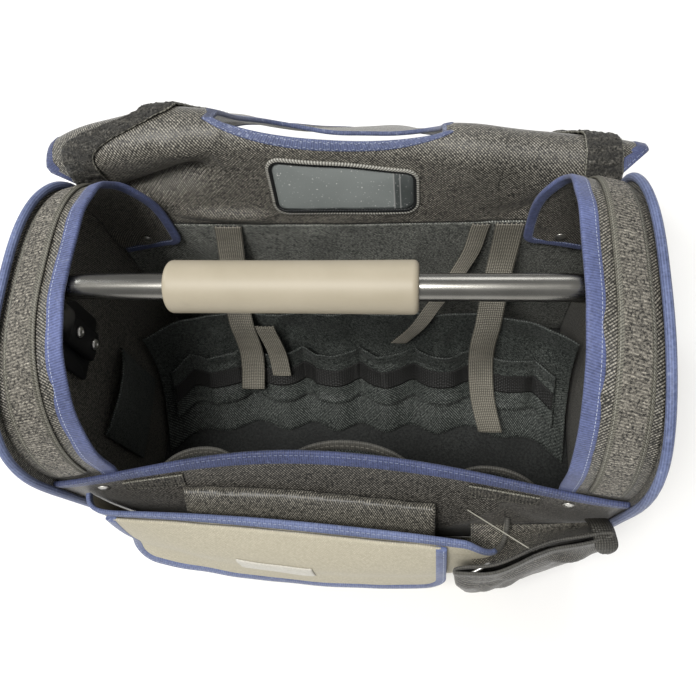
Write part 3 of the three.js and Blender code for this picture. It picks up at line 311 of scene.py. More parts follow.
def pile_cloth(name, dark, light, half_width, grain=0.0012, rows_at=2.3, edge=3.4):
    """Hooks or loops: a tangle in rows across the strip, with a woven, sewn edge at both sides."""
    f = Finish(name, Roughness=0.55)
    u, v = f.flat()
    tangle = f.noise(520.0, 3.0, 0.8).between(0.38, 0.62)
    waver = f.noise(120.0, 2.0) * 1.2
    rows = (u + waver).wave(rows_at)
    fuzz = tangle * 0.35 + rows * tangle * 0.85
    side = (v.abs() > half_width - edge) * 1.0
    rib = (u + v.abs()).wave(1.9)
    sewn = ((v.abs() - (half_width - 0.5 * edge)).abs() < 0.4) * ((u / 3.6).fraction() < 0.7)
    pile = f.mix(dark, light, fuzz)
    woven_edge = f.mix((0.02, 0.02, 0.017), (0.2, 0.19, 0.15), rib * 0.7 + tangle * 0.3)
    colour = f.mix(f.mix(pile, woven_edge, side), (0.34, 0.33, 0.28), sewn * 0.7)
    height = (1 - side) * fuzz + side * (0.45 + rib * 0.2) + sewn * 0.3
    return f.paint(Base_Color=colour, Normal=f.bump(height, grain))


webbing = webbing_cloth("dark webbing", (0.012, 0.012, 0.011), (0.46, 0.43, 0.35))
lobe_webbing = webbing_cloth("lobe webbing", (0.004, 0.004, 0.004), (0.1, 0.095, 0.08))
elastic = webbing_cloth("elastic", (0.003, 0.003, 0.003), (0.04, 0.04, 0.038))
hook_pile = pile_cloth("hook strip", (0.006, 0.006, 0.005), (0.55, 0.51, 0.43), 12.0)
loop_pile = pile_cloth("loop strip", (0.006, 0.006, 0.006), (0.19, 0.18, 0.155), 14.0, 0.002, 9.0, 1.0)
patch_pile = pile_cloth("loop patch", (0.006, 0.006, 0.006), (0.22, 0.205, 0.17), 6.5, 0.0012, 2.6, 0.8)
print("tapes, webbing and piles are ready")

# %% [markdown]
# ## Steel, grip, plastic and film
# The handle tube is polished steel with fine scratches along it. The grip is a satin foam rubber
# sleeve, warm grey and a little mottled. The window is a clear film over a pale stiffener: glossy,
# with dust specks.

# %% Hard finishes
def scratches(f):
    """Noise drawn out along x, so that it runs in fine lines."""
    lines = f.node("ShaderNodeMapping", {"Vector": f.place(), "Scale": (30.0, 900.0, 900.0)})
    return f.noise(1.0, 3.0, at=lines)


def rivet_finish():
    """Bright steel with fine scratches and darker smudges."""
    f = Finish("rivet steel", Metallic=1.0)
    scratch, smudge = scratches(f), f.noise(30.0, 3.0)
    colour = (0.85, 0.83, 0.78)
    tint = f.mix(colour, tuple(0.55 * c for c in colour), smudge.between(0.4, 0.8) * 0.5)
    rough = scratch * 0.12 + 0.3 + smudge * 0.05
    return f.paint(Base_Color=tint, Roughness=rough, Normal=f.bump(scratch, 0.00002))


def tube_finish():
    """Polished steel, but near-black and not metallic below the bend, on the legs and their flattened feet.
    """
    f = Finish("polished steel tube")
    scratch, smudge = scratches(f), f.noise(30.0, 3.0)
    height = f.node("ShaderNodeSeparateXYZ", {0: f.place()}, out=2)
    above_bend = height.between(0.292, 0.318)
    tint = f.mix((0.25, 0.244, 0.225), (0.14, 0.137, 0.125), smudge.between(0.4, 0.8) * 0.5)
    colour = f.mix((0.006, 0.006, 0.007), tint, above_bend)
    rough = 0.45 - above_bend * 0.24 + scratch * 0.12
    return f.paint(Base_Color=colour, Metallic=above_bend, Roughness=rough, Normal=f.bump(scratch, 0.00002))


def rubber_finish():
    """Satin foam rubber, mottled and a little smudged."""
    f = Finish("satin grip", Coat_Weight=0.1, Coat_Roughness=0.4)
    mottle = f.noise(22.0, 4.0, 0.6)
    grain = f.noise(900.0, 2.0)
    colour = f.mix((0.345, 0.303, 0.222), (0.385, 0.34, 0.255), mottle.between(0.3, 0.7))
    smudged = f.mix(colour, (0.2, 0.18, 0.14), f.noise(60.0, 4.0).between(0.66, 0.8) * 0.15)
    return f.paint(Base_Color=smudged, Roughness=mottle * 0.15 + 0.45, Normal=f.bump(grain, 0.00005))


def plastic_finish(name, dark, light, rough):
    """A fine grain, and two tones that run into each other."""
    f = Finish(name)
    grain, smudge = f.noise(700.0, 2.0), f.noise(35.0, 3.0)
    colour, shine = f.mix(dark, light, smudge), smudge * 0.15 + rough
    return f.paint(Base_Color=colour, Roughness=shine, Normal=f.bump(grain, 0.00006))


steel = tube_finish()
rivet_steel = rivet_finish()
grip_rubber = rubber_finish()
black_plastic = plastic_finish("black plastic", (0.005, 0.005, 0.006), (0.014, 0.014, 0.015), 0.42)
print("hard finishes are ready")

# %% [markdown]
# ## Surfaces as arrays
# Every cloth piece is a surface that depends on two numbers. Written for whole numpy arrays, one
# call gives all the points of a piece. Three helpers cover the tote: a sheet on a grid, a tape
# whose rounded section is carried along an edge, and a body through a row of rings.

# %% From arrays to a Blender mesh
made = {}


def grid(first, second):
    """Two rows of numbers spread over a grid: the first across, the second along."""
    return np.meshgrid(first, second, indexing="ij")


def full_turn(count):
    """count angles once round, without the last one, which is the first again."""
    return np.linspace(0, 2 * math.pi, count, endpoint=False)


def eased(count):
    """From -1 to 1 by a sine, so that the steps are finest at both ends."""
    return np.sin(np.linspace(-math.pi / 2, math.pi / 2, count))


def signed_power(value, power):
    return np.sign(value) * np.abs(value) ** power


def grid_faces(across, along, ring_across=False, ring_along=False):
    """The four corners of every cell of an across by along grid, which may close on itself."""
    i, j = grid(np.arange(across - (not ring_across)), np.arange(along - (not ring_along)))
    i2, j2 = (i + 1) % across, (j + 1) % along
    return np.stack([i * along + j, i2 * along + j, i2 * along + j2, i * along + j2], -1).reshape(-1, 4)


def build(name, points, faces, flat, finish, slot, thick=0.0, closed=False, weld=0.0, stands_for=None):
    """Points and flat places in millimetres go into a mesh; a thick sheet gets both its faces. The
    piece tote_NAME stands for the CAD solid NAME, where there is one, or for the one it is told."""
    points, flat = points.reshape(-1, 3) * MM, flat.reshape(-1, 2) * MM
    mesh = bpy.data.meshes.new("tote_" + name)
    mesh.vertices.add(len(points))
    mesh.vertices.foreach_set("co", points.ravel())
    mesh.loops.add(faces.size)
    mesh.loops.foreach_set("vertex_index", faces.ravel().astype(np.int32))
    mesh.polygons.add(len(faces))
    mesh.polygons.foreach_set("loop_start", np.arange(0, faces.size, faces.shape[1], dtype=np.int32))
    mesh.polygons.foreach_set("use_smooth", np.ones(len(faces), bool))
    layer = mesh.uv_layers.new(name="flat")
    layer.data.foreach_set("uv", flat[faces.ravel()].ravel())
    mesh.update(calc_edges=True)
    mesh.validate()
    piece = add("tote_" + name, mesh)
    mesh.materials.append(finish)
    if weld or closed:
        work = bmesh.new()
        work.from_mesh(mesh)
        bmesh.ops.remove_doubles(work, verts=work.verts, dist=max(weld, 0.01) * MM)
        if closed:
            bmesh.ops.recalc_face_normals(work, faces=work.faces)
        work.to_mesh(mesh)
        work.free()
    if thick:
        wall = piece.modifiers.new("cloth thickness", "SOLIDIFY")
        wall.thickness, wall.offset = thick * MM, 0.0
    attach(piece, "root")
    solid = stands_for or name
    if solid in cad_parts:
        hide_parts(solid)
    made[name] = piece
    return piece


def unit(vectors):
    return vectors / np.maximum(np.linalg.norm(vectors, axis=-1, keepdims=True), 1e-9)


def lifted(surface, a, b, height):
    """A surface's points, moved by height along its normal: the cross product of its two slopes."""
    reach = 0.5
    along_a = surface(a + reach, b) - surface(a - reach, b)
    along_b = surface(a, b + reach) - surface(a, b - reach)
    normal = unit(np.cross(along_a, along_b))
    return surface(a, b) + normal * np.asarray(height)[..., None]


def normals(surface, a, b):
    return lifted(surface, a, b, np.ones(np.shape(a))) - surface(a, b)


# %% A sheet, a tape and a body of rings
def run_lengths(points):
    """How far along a row of points each one lies: the sum of the steps before it."""
    steps = np.linalg.norm(np.diff(points, axis=0), axis=-1)
    return np.concatenate([[0], np.cumsum(steps)])


def cloth_sheet(name, surface, a, b, finish, slot, thick, height=0.0, flat=None, **more):
    """A sheet over the grids a and b of a surface's two numbers, raised by height."""
    height = np.broadcast_to(np.asarray(height, float), a.shape)
    points = lifted(surface, a, b, height)
    flat = np.stack([a, b], -1) if flat is None else flat
    return build(name, points, grid_faces(*a.shape), flat, finish, slot, thick, **more)


def double_ends(row):
    return np.concatenate([row[:1], row[:1], row, row[-1:], row[-1:]])


def tape(name, outer, inner, normal, thick, finish, slot, closed=False, **more):
    """A flat tape with rounded edges between two rows of points. Its section is a superellipse:
    half the width times cos to a power, half the thickness times sin to the same power."""
    sides, square = 14, 0.45
    middle, half = (outer + inner) / 2, (outer - inner) / 2
    angle = full_turn(sides)
    wide = signed_power(np.cos(angle), square)
    high = signed_power(np.sin(angle), square) * thick / 2
    shrink = np.ones(len(middle))
    run = run_lengths(middle)
    width = np.linalg.norm(half, axis=-1)
    if not closed:
        middle, half, normal, run, width = map(double_ends, (middle, half, normal, run, width))
        shrink = np.concatenate([[0, 0.8], shrink, [0.8, 0]])
    points = (
        middle[:, None]
        + half[:, None] * (wide[None, :, None] * shrink[:, None, None])
        + normal[:, None] * (high[None, :, None] * shrink[:, None, None])
    )
    flat = np.stack(np.broadcast_arrays(run[:, None], wide[None] * width[:, None]), -1)
    faces = grid_faces(len(middle), sides, closed, True)
    return build(name, points, faces, flat, finish, slot, closed=True, **more)


def ringed(name, rings, finish, slot, **more):
    """A closed body through rings of points; the first and last ring are closed with their middle."""
    low, high = rings[:1].mean(1, keepdims=True), rings[-1:].mean(1, keepdims=True)
    count = rings.shape[1]
    rings = np.concatenate([low.repeat(count, 1), rings, high.repeat(count, 1)])
    around = np.linalg.norm(np.diff(rings, axis=1, append=rings[:, :1]), axis=-1).cumsum(1)
    up = np.linalg.norm(np.diff(rings, axis=0, prepend=rings[:1]), axis=-1).cumsum(0)
    flat = np.stack([around, up], -1)
    faces = grid_faces(len(rings), count, False, True)
    return build(name, rings, faces, flat, finish, slot, closed=True, **more)


def pipe(name, path, radius, finish, slot, sides=12):
    """A round tube along a path: a circle carried along it in the plane across its direction."""
    ahead = unit(np.gradient(path, axis=0))
    side = unit(np.cross(ahead, np.array([0.3, 0.2, 1.0])))
    over = np.cross(side, ahead)
    angle = full_turn(sides)[None, :, None]
    rings = path[:, None] + radius * (side[:, None] * np.cos(angle) + over[:, None] * np.sin(angle))
    return ringed(name, rings, finish, slot)


print("helpers for sheets, tapes, rings and pipes are ready")

# %% [markdown]
# ## Folds and dents
# Real cloth is never smooth. Soft dents are a sum of sine waves in several directions, and a sharp
# crease is a ridge along a line that fades away from it. Both are heights, added along the normal.

# %% Ripples and creases
def ripples(a, b, seed, pitch, depth):
    """Sum of sine waves: each has its own direction, pitch and start, drawn from one seed."""
    draw, count = np.random.default_rng(seed), 6
    height = np.zeros(np.shape(a))
    for _ in range(count):
        turn, start = draw.uniform(0, 2 * math.pi, 2)
        wave = pitch * draw.uniform(0.5, 1.4)
        c, s = math.cos(turn), math.sin(turn)
        bend = 0.6 * np.sin(2 * math.pi * (a * s - b * c) / (2.3 * wave) + start)
        height += np.sin(2 * math.pi * (a * c + b * s) / wave + start + bend) / count
    return depth * height


def crease(a, b, start, end, width, height):
    """A ridge along a straight line: height times a bell of the distance, faded at both ends."""
    start, end = np.array(start, float), np.array(end, float)
    line = end - start
    k = ((a - start[0]) * line[0] + (b - start[1]) * line[1]) / (line @ line)
    near = np.clip(k, 0, 1)
    gap = np.hypot(a - start[0] - near * line[0], b - start[1] - near * line[1])
    fade = np.clip(np.sin(near * math.pi), 0, 1) ** 0.5
    return height * fade * np.exp(-((gap / width) ** 2))


def creases(a, b, *rows):
    """Several creases at once: each row holds a start, an end, a width and a height."""
    return sum(crease(a, b, *row) for row in rows)


def pleats(x, h, seed, count=11, height=3.0):
    """Upright folds: creases at drawn places, with drawn widths and heights."""
    draw = np.random.default_rng(seed)
    folds = np.zeros(x.shape)
    for at in np.linspace(-190, 190, count) + draw.uniform(-14, 14, count):
        tilt, width, tall = draw.uniform(-16, 16), draw.uniform(4, 8), height * draw.uniform(0.5, 1.2)
        folds += crease(x, h, (at, draw.uniform(0, 25)), (at + tilt, draw.uniform(70, 98)), width, tall)
    return folds


def smooth(x, low, high):
    """0 below low, 1 above high, and a smooth climb in between."""
    k = np.clip((x - low) / (high - low), 0, 1)
    return k * k * (3 - 2 * k)


# %% [markdown]
# ## The box of walls
# The tote is a box 454 mm long whose rims are pulled in near the middle. The front wall also
# bulges lower down. These functions give the depth of each wall at any x and height, and every
# piece sewn to a wall starts from them, so it stays on the wall.

# %% Where the walls are
LENGTH, BASE_DEPTH, RIM_DEPTH, WALL_HEIGHT = 454.0, 236.0, 242.0, 240.0
HALF, INNER = LENGTH / 2, LENGTH / 2 - 3.1
SLUMP_CENTRE = -20.0


def inward(x):
    """How far a rim is pulled in: one less a square, to the power 1.5, nothing at the corners."""
    reach = np.where(x < SLUMP_CENTRE, HALF + SLUMP_CENTRE, HALF - SLUMP_CENTRE)
    share = np.clip((x - SLUMP_CENTRE) / reach, -1, 1)
    return (1 - share**2) ** 1.5


def half_depth(z):
    return (BASE_DEPTH + (RIM_DEPTH - BASE_DEPTH) * z / WALL_HEIGHT) / 2


def front_y(x, z):
    """Half the depth, less the slump near the rim, plus a belly that is a sine of the height."""
    up_share = np.clip(z / WALL_HEIGHT, 0, 1)
    span = np.clip(x / INNER, -1, 1)
    belly = 14 * np.sin(math.pi * up_share) * (1 - span**2)
    top = np.clip((z / WALL_HEIGHT - 0.66) / 0.34, 0, 1.1)
    return 33 * inward(x) * top**1.5 - half_depth(z) - belly


def back_y(x, z):
    return half_depth(z) - 3 * inward(x) * np.clip(z / WALL_HEIGHT, 0, 1.1) ** 3


def front_wall(x, z):
    return np.stack([x, front_y(x, z), z], -1)


def back_wall(x, z):
    return np.stack([x, back_y(x, z), z], -1)


def mesh_of(low_a, high_a, count_a, low_b, high_b, count_b):
    return grid(np.linspace(low_a, high_a, count_a), np.linspace(low_b, high_b, count_b))


# %% Front and back wall, and the base
WALL_FOOT, FRONT_CUT, RIM_BAND = 4.3, 232.0, 10.0
x, z = mesh_of(-INNER, INNER, 180, WALL_FOOT, FRONT_CUT, 80)
dents = ripples(x, z, 3, 80, 1.2) * smooth(z, 5, 40) * (1 - smooth(z, 200, FRONT_CUT))
dents += creases(x, z, ((150, 228), (60, 120), 7, 1.6), ((110, 232), (180, 150), 9, -1.8))
dents *= 1 - (np.abs(x) / INNER) ** 8
cloth_sheet("front_wall", front_wall, x, z, front_cloth_painted_shade, "charcoal_nylon", 2.5, dents)

x, z = mesh_of(-INNER, INNER, 180, WALL_FOOT, WALL_HEIGHT, 60)
dents = ripples(x, z, 4, 60, 2.2) + pleats(x, (z - 140) * 1.1, 66, 9, 1.8)
dents = dents * smooth(z, 5, 40) * (1 - smooth(z, 222, 238))
cloth_sheet("back_wall", back_wall, x, z, inner_cloth, "dark_lining", 2.5, dents)
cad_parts["base_panel"].data.materials[0] = floor_cloth
print("walls:", len(made), "pieces so far")

# %% [markdown]
# ## Arched side panels
# Each end of the tote is a panel with an arch on top. The arch is a superellipse: its y and height
# are cos and sin to the power 2 over 2.65, which gives flat sides and a rounded shoulder. A piping
# runs round its edge, and a wide strip lies over it from the front rim to the back rim.

# %% Side panels and their piping
ARCH_RISE, ARCH_POWER = 117.0, 2.65


def arch(degrees, reach_front, reach_back, rise, power_front, power_back):
    """y and z of an arch over the rim: reach times cos, rise times sin, each to the power 2/p."""
    angle = np.radians(np.clip(degrees, 0, 180))
    c, s = np.cos(angle), np.maximum(np.sin(angle), 0)
    power = np.where(c > 0, power_front, power_back)
    reach = np.where(c > 0, reach_front, reach_back)
    return -np.sign(c) * reach * np.abs(c) ** (2 / power), WALL_HEIGHT + rise * s ** (2 / power)


def panel_top(k):
    return WALL_HEIGHT + ARCH_RISE * (1 - np.minimum(np.abs(k), 1) ** ARCH_POWER) ** (1 / ARCH_POWER)


def side_panel(side):
    """k from the front edge (-1) to the back edge (1), v from the foot (0) to the arch (1)."""
    def surface(k, v):
        z = WALL_FOOT + (panel_top(k) + 1.2 * (1 - k**4) - WALL_FOOT) * v
        half = np.where(z < WALL_HEIGHT, half_depth(z), RIM_DEPTH / 2) + 2.4
        out = 1.6 * np.sin(math.pi * np.clip(v, 0, 1)) * (1 - np.minimum(np.abs(k), 1) ** 2)
        return np.stack([side * (HALF - 1.4 + out), k * half, z], -1)
    return surface


SIDES = (("left", -1), ("right", 1))
k, v = grid(eased(90), np.linspace(0, 1, 110))
for name, side in SIDES:
    place = side_panel(side)(k, v)
    waves = ripples(place[..., 1], place[..., 2], 11 + side, 75, 0.8)
    place[..., 0] += waves * np.sin(math.pi * v) * (1 - k**4)
    build(
        f"{name}_side", place, grid_faces(*k.shape), place[..., 1:], outer_cloth, "charcoal_nylon",
        2.6, weld=0.02, stands_for=f"{name}_side_panel",
    )

PIPING_REACH, PIPING_OUT, PIPING_RISE = 125.9, 5.0, 3.8
for name, side in SIDES:
    degrees = np.linspace(0, 180, 120)
    rise = ARCH_RISE + PIPING_RISE
    y, z = arch(degrees, PIPING_REACH, PIPING_REACH, rise, ARCH_POWER, ARCH_POWER)
    legs = np.linspace(4.5, WALL_HEIGHT, 40, endpoint=False)
    leg_y = half_depth(legs) + PIPING_OUT
    y = np.concatenate([-leg_y, y, leg_y[::-1]])
    z = np.concatenate([legs, z, legs[::-1]])
    path = np.stack([np.full(len(y), side * (HALF - 1.4)), y, z], -1)
    path[:, 0] += side * 0.5 * np.sin(np.linspace(0, 26, len(y)))
    pipe(f"{name}_piping", path, 3.4, pale_tape, "blue_binding")
print("side panels and piping done")

# %% [markdown]
# ## The strips over the arches
# A strip is sewn to the side panel's edge and reaches 49 mm inwards. Its inner edge follows another
# arch, higher at the middle. Where the strip comes down at the back it ends in a round ear, and in
# front in a short tail. The same surface carries the cloth, its blue binding and the hook strip.

# %% The strip's surface
STRIP, EAR, EAR_CORNER, TAIL = 49.0, 30.0, 15.0, 28.0


def strip(side):
    """a: millimetres below the rim in front (negative), degrees over the arch (0 to 180), then
    millimetres below the rim again (over 180). w: millimetres in from the side panel."""
    inset = 4.95

    def edge(a, across, rise, front_power, back_power):
        x = side * (INNER - across) * np.ones(np.shape(a))
        front, back = -front_y(x, WALL_HEIGHT) - inset, back_y(x, WALL_HEIGHT) - inset
        y, z = arch(a, front, back, rise, front_power, back_power)
        below = np.where(a < 0, -a, np.maximum(a - 180, 0))
        tail = np.where(a < 0, front_y(x, z - below) + inset, back_y(x, z - below) - inset)
        return np.stack([x, np.where(below > 0, tail, y), z - below], -1)

    def surface(a, w):
        outer = edge(a, 0, ARCH_RISE - 3, ARCH_POWER, ARCH_POWER)
        inner = edge(a, STRIP, 127.0, 2.0, 3.3)
        return outer + (inner - outer) * (w / STRIP)[..., None]
    return surface


def ear_width(a):
    return STRIP + 18 * smooth(a, 145, 182)


EAR_END = 180 + EAR
tail, over, ear = np.linspace(-TAIL, 0, 11)[:-1], np.linspace(0, 180, 150), np.linspace(180, EAR_END, 14)
stations = np.concatenate([tail, over, ear[1:]])
strip_run = run_lengths(strip(1)(stations, np.full(len(stations), 25.0)))
print("a strip is", round(strip_run[-1]), "mm long")

# %% Cloth, binding and hook strip on each arch
FOOT_SLOPE = 14.0


def round_tip(a):
    """How much a rounded end takes off each edge: a quarter circle of the corner's radius."""
    corner = 14.0
    left = np.clip((EAR_END - a) / corner, 0, 1)
    return corner * (1 - np.sqrt(1 - (1 - left) ** 2))


def ear_outline(inset):
    """The edge to be bound, as (a, w): up the inner edge, round the ear's tip and up its other side."""
    rising = stations[stations <= EAR_END - EAR_CORNER]
    rows = [np.stack([rising, ear_width(rising) - inset * (1 - 0.35 * smooth(rising, 110, 175))], -1)]
    inset = 0.65 * inset
    turn = np.linspace(0, math.pi / 2, 9)[1:]
    radius = EAR_CORNER - inset
    tip_a, tip_w = EAR_END - EAR_CORNER, ear_width(np.array([200.0]))[0] - EAR_CORNER
    rows.append(np.stack([tip_a + radius * np.sin(turn), tip_w + radius * np.cos(turn)], -1))
    shares = np.linspace(0.85, 0, 8)
    rows.append(np.stack([EAR_END - inset + FOOT_SLOPE * (1 - shares), 6 + (tip_w - 6) * shares], -1))
    return np.concatenate(rows)


def swelling(a):
    """0 at both ends of the arch and 1 on its top: the sine of the angle over it."""
    return np.sin(math.pi * np.clip(a / 180, 0, 1))


HOOK_MIDDLE, HOOK_EDGE = 19.0, np.array([9.2, 9.6, 11.4, 12])
hook_across = np.concatenate([-HOOK_EDGE[::-1], np.linspace(-8.6, 8.6, 16), HOOK_EDGE])
for name, side in SIDES:
    surface = strip(side)
    a, share = grid(stations, np.linspace(0, 1, 26))
    tip = round_tip(a)
    w = tip + (ear_width(a) - 3 - 2 * tip) * share
    a = a + FOOT_SLOPE * (1 - share) * smooth(a, 182, EAR_END)
    puff = 1.2 * np.sin(math.pi * share) * swelling(a) + ripples(a * 1.6, w, 21 + side, 60, 0.7)
    flat = np.stack([np.broadcast_to(strip_run[:, None], a.shape), w], -1)
    cloth_sheet(f"{name}_strip", surface, a, w, outer_cloth, "charcoal_nylon", 2.0, side * puff, flat)

    outline, inner = ear_outline(-0.6), ear_outline(12.0)
    wavy = 0.5 * np.sin(np.linspace(0, 60, len(outline)))
    outer_edge = lifted(surface, outline[:, 0], outline[:, 1], side * wavy)
    inner_edge = lifted(surface, inner[:, 0], inner[:, 1], side * wavy)
    normal = normals(surface, (outline + inner)[:, 0] / 2, (outline + inner)[:, 1] / 2)
    tape(f"{name}_strip_binding", outer_edge, inner_edge, normal, 4.2, strip_tape, "blue_binding")

    over = np.linspace(3, 172, 150)
    a, w = grid(over, hook_across)
    tangle = 0.35 * np.random.default_rng(5).uniform(-1, 1, a.shape)
    fuzz = np.where(np.abs(w) < 9.3, 0.9, 0.0) + tangle * (np.abs(w) < 9)
    height = side * (2.4 + fuzz + 1.1 * swelling(a))
    run = np.interp(over, stations, strip_run)
    flat = np.stack([np.broadcast_to(run[:, None], a.shape), w], -1)
    name += "_hook_strip"
    cloth_sheet(name, surface, a, w + HOOK_MIDDLE, hook_pile, "hook_pile", 1.5, height, flat)
print("strips done:", len(made), "pieces so far")

# %% [markdown]
# ## The lid
# The lid is hinged on the back rim, rises almost straight and folds over backwards. Along its width
# the fold has another height everywhere, so a short table says how high it stands and how steeply
# it leans. A slot for the handle is cut just behind the fold. The grid has two blocks of rows, one
# before the slot and one behind it. They are welded together everywhere but at the slot.

# %% The lid's surface
LID_LENGTH, LID_WIDTH, HINGE_WIDTH, LID_RISE, LID_CURL = 420.0, 492.0, 438.0, 90.0, 20.0
SLOT_LEFT, SLOT_RIGHT, SLOT_NEAR, SLOT_FAR = -98.0, 84.0, 12.0, 128.0
SLOT_FOLD, SLOT_TILT, SLOT_SAG = 100.0, 18.0, 16.0
SLOT_MIDDLE, SLOT_HALF = (SLOT_LEFT + SLOT_RIGHT) / 2, (SLOT_RIGHT - SLOT_LEFT) / 2
fold_at = np.array([-1, -0.8, -0.6, -0.39, 0, 0.34, 0.7, 0.85, 1])
fold_rise = np.array([0.83, 1.03, 1.13, 1.06, 0.95, 0.87, 0.76, 0.74, 0.63])
fold_lean = np.array([87, 84, 80, 77, 76, 77, 82, 85, 87.0])
fold_slope = np.array([54, 54, 54, 54, 54, 54, 55, 56, 56.0])


def along(places, values, at):
    """A smooth curve through a short table: a cubic on each stretch whose end slopes are the
    slopes of the chords to the neighbours."""
    i = np.clip(np.searchsorted(places, at, side="left"), 1, len(places) - 1)
    before, after = np.maximum(i - 2, 0), np.minimum(i + 1, len(places) - 1)
    span = places[i] - places[i - 1]
    k = np.clip((at - places[i - 1]) / span, 0, 1)
    slope_a = span * (values[i] - values[before]) / (places[i] - places[before])
    slope_b = span * (values[after] - values[i - 1]) / (places[after] - places[i - 1])
    k2, k3 = k * k, k * k * k
    start = (2 * k3 - 3 * k2 + 1) * values[i - 1] + (k3 - 2 * k2 + k) * slope_a
    return start + (3 * k2 - 2 * k3) * values[i] + (k3 - k2) * slope_b


def lid(far):
    """x across the lid, s from its hinge to its free edge: straight up, a curl of one radius over
    the fold, then straight down. Behind the slot (far) the cloth sags between its two shoulders."""
    def surface(x, s):
        at = x / (LID_WIDTH / 2)
        slope = np.radians(along(fold_at, fold_slope, at))
        lean = np.radians(along(fold_at, fold_lean, at))
        height = LID_RISE * along(fold_at, fold_rise, at) - 0.3
        straight = (height - LID_CURL * (1 - np.cos(lean))) / np.sin(lean)
        bent = np.clip((s - straight) / LID_CURL, 0, lean + slope)
        rest = np.maximum(s - straight - LID_CURL * (lean + slope), 0)
        rise, heading = np.minimum(s, straight), lean - bent
        y = rise * np.cos(lean) + LID_CURL * (np.sin(lean) - np.sin(heading)) + rest * np.cos(slope)
        z = rise * np.sin(lean) + LID_CURL * (np.cos(heading) - np.cos(lean)) - rest * np.sin(slope)
        k = np.clip((x - SLOT_MIDDLE) / (SLOT_HALF + 9.3), -1, 1)
        end = LID_LENGTH - 10.3
        past = np.clip((end - s) / (end - SLOT_FOLD - SLOT_FAR), 0, 1)
        sag = np.where(far, SLOT_SAG * (1 - k * k) * past, 0)
        hinge_y = back_y(np.clip(x, -HALF, HALF), WALL_HEIGHT)
        return np.stack([x, hinge_y + y, WALL_HEIGHT + 1 + z - sag], -1)
    return surface


def slot_edge(k, far, margin):
    """s of a lip of the slot: the near lip is a shallow scoop, the far one nearly straight."""
    scoop = np.maximum(1 - np.abs(k) ** 2.2, 0) ** 0.8
    square = np.maximum(1 - np.abs(k) ** 9, 0) ** 0.5
    reach = (SLOT_FAR + margin) * square if far else -(SLOT_NEAR + margin) * scoop
    return SLOT_FOLD - SLOT_TILT / 2 * k + reach


def lid_folds(x, s):
    """The lid's own dents: soft waves, a deep hollow low on the left wing and creases at the hinge."""
    wing = ripples(x, s, 31, 120, 2.2) * smooth(s, 6, 40)
    left = creases(
        x, s, ((-228, 20), (-96, 72), 14, -15), ((-246, 90), (-90, 92), 20, 7),
        ((-200, 36), (-112, 66), 5, -5), ((-140, 96), (-96, 60), 9, 3),
    )
    hinge = creases(
        x, s, ((-64, 9), (-150, 17), 6, 7), ((120, 4), (210, 30), 9, -3.5),
        ((-20, 4), (60, 14), 6, 1.5), ((150, 40), (230, 52), 10, 3),
    )
    waves = 5 * np.sin(2 * math.pi * x / 210 + 0.8) * smooth(s, 230, 400) * (1 - smooth(s, 396, 409))
    return wing + left + hinge + waves


# %% The lid's cloth
near_rows, far_rows = 34, 60
wing_columns, slot_columns = 34, 64
rising = np.linspace(0, 1, wing_columns + 1)
k = np.concatenate([np.full(wing_columns, -1), eased(slot_columns + 1), np.full(wing_columns, 1)])
column = np.concatenate([rising[:-1], np.zeros(slot_columns + 1), rising[1:]])


def lid_grid(far):
    """x and s of the grid: rows are shares of the way to the slot's lip, or from it to the edge."""
    lip = slot_edge(k, far, 4.0)[:, None]
    share = np.linspace(0, 1, far_rows if far else near_rows)[None]
    s = lip + (LID_LENGTH - 5 - lip) * share**1.15 if far else lip * share
    wide = HINGE_WIDTH / 2 + (LID_WIDTH / 2 - 5 - HINGE_WIDTH / 2) * smooth(s, 62, 78)
    slot_x = SLOT_MIDDLE + k[:, None] * (SLOT_HALF + 4)
    c = column[:, None]
    left = -wide + (slot_x + wide) * c
    right = slot_x + (wide - slot_x) * c
    n = np.arange(len(k))[:, None]
    x = np.where(n < wing_columns, left, np.where(n > wing_columns + slot_columns, right, slot_x))
    return x, s


places = {far: lid_grid(far) for far in (False, True)}
points = [lifted(lid(far), x, s, lid_folds(x, s)) for far, (x, s) in places.items()]
points = np.concatenate(points, 1)
flat = np.concatenate([np.stack(place, -1) for place in places.values()], 1)
faces = grid_faces(*points.shape[:2])
bridge = (faces[:, 0] % points.shape[1]) == near_rows - 1
faces = faces[~bridge]
build("lid", points, faces, flat, outer_cloth, "charcoal_nylon", 2.5, weld=0.3)
print("lid:", points.shape[0] * points.shape[1], "points")


# %% The tapes round the slot and the lid's edge
def on_lid(x, s, far, height=0.0):
    """Points of the lid with its dents, raised by height."""
    x, s = np.asarray(x, float), np.asarray(s, float)
    return lifted(lid(far), x, s, lid_folds(x, s) + height)


lip = eased(60)
round_k = np.concatenate([lip[:-1], lip[::-1][:-1]])
round_far = np.arange(len(round_k)) >= len(lip) - 1


def slot_place(margin):
    """x and s all round the slot: along its near lip and back along the far one."""
    near, behind = slot_edge(round_k, False, margin), slot_edge(round_k, True, margin)
    return SLOT_MIDDLE + round_k * (SLOT_HALF + margin), np.where(round_far, behind, near)


def slot_line(margin):
    x, s = slot_place(margin)
    return np.where(round_far[:, None], on_lid(x, s, True), on_lid(x, s, False))


normal = normals(lid(False), *slot_place(4.5))
tape("lid_slot_binding", slot_line(9.0), slot_line(0.0), normal, 4.4, slot_tape, "blue_binding", closed=True)


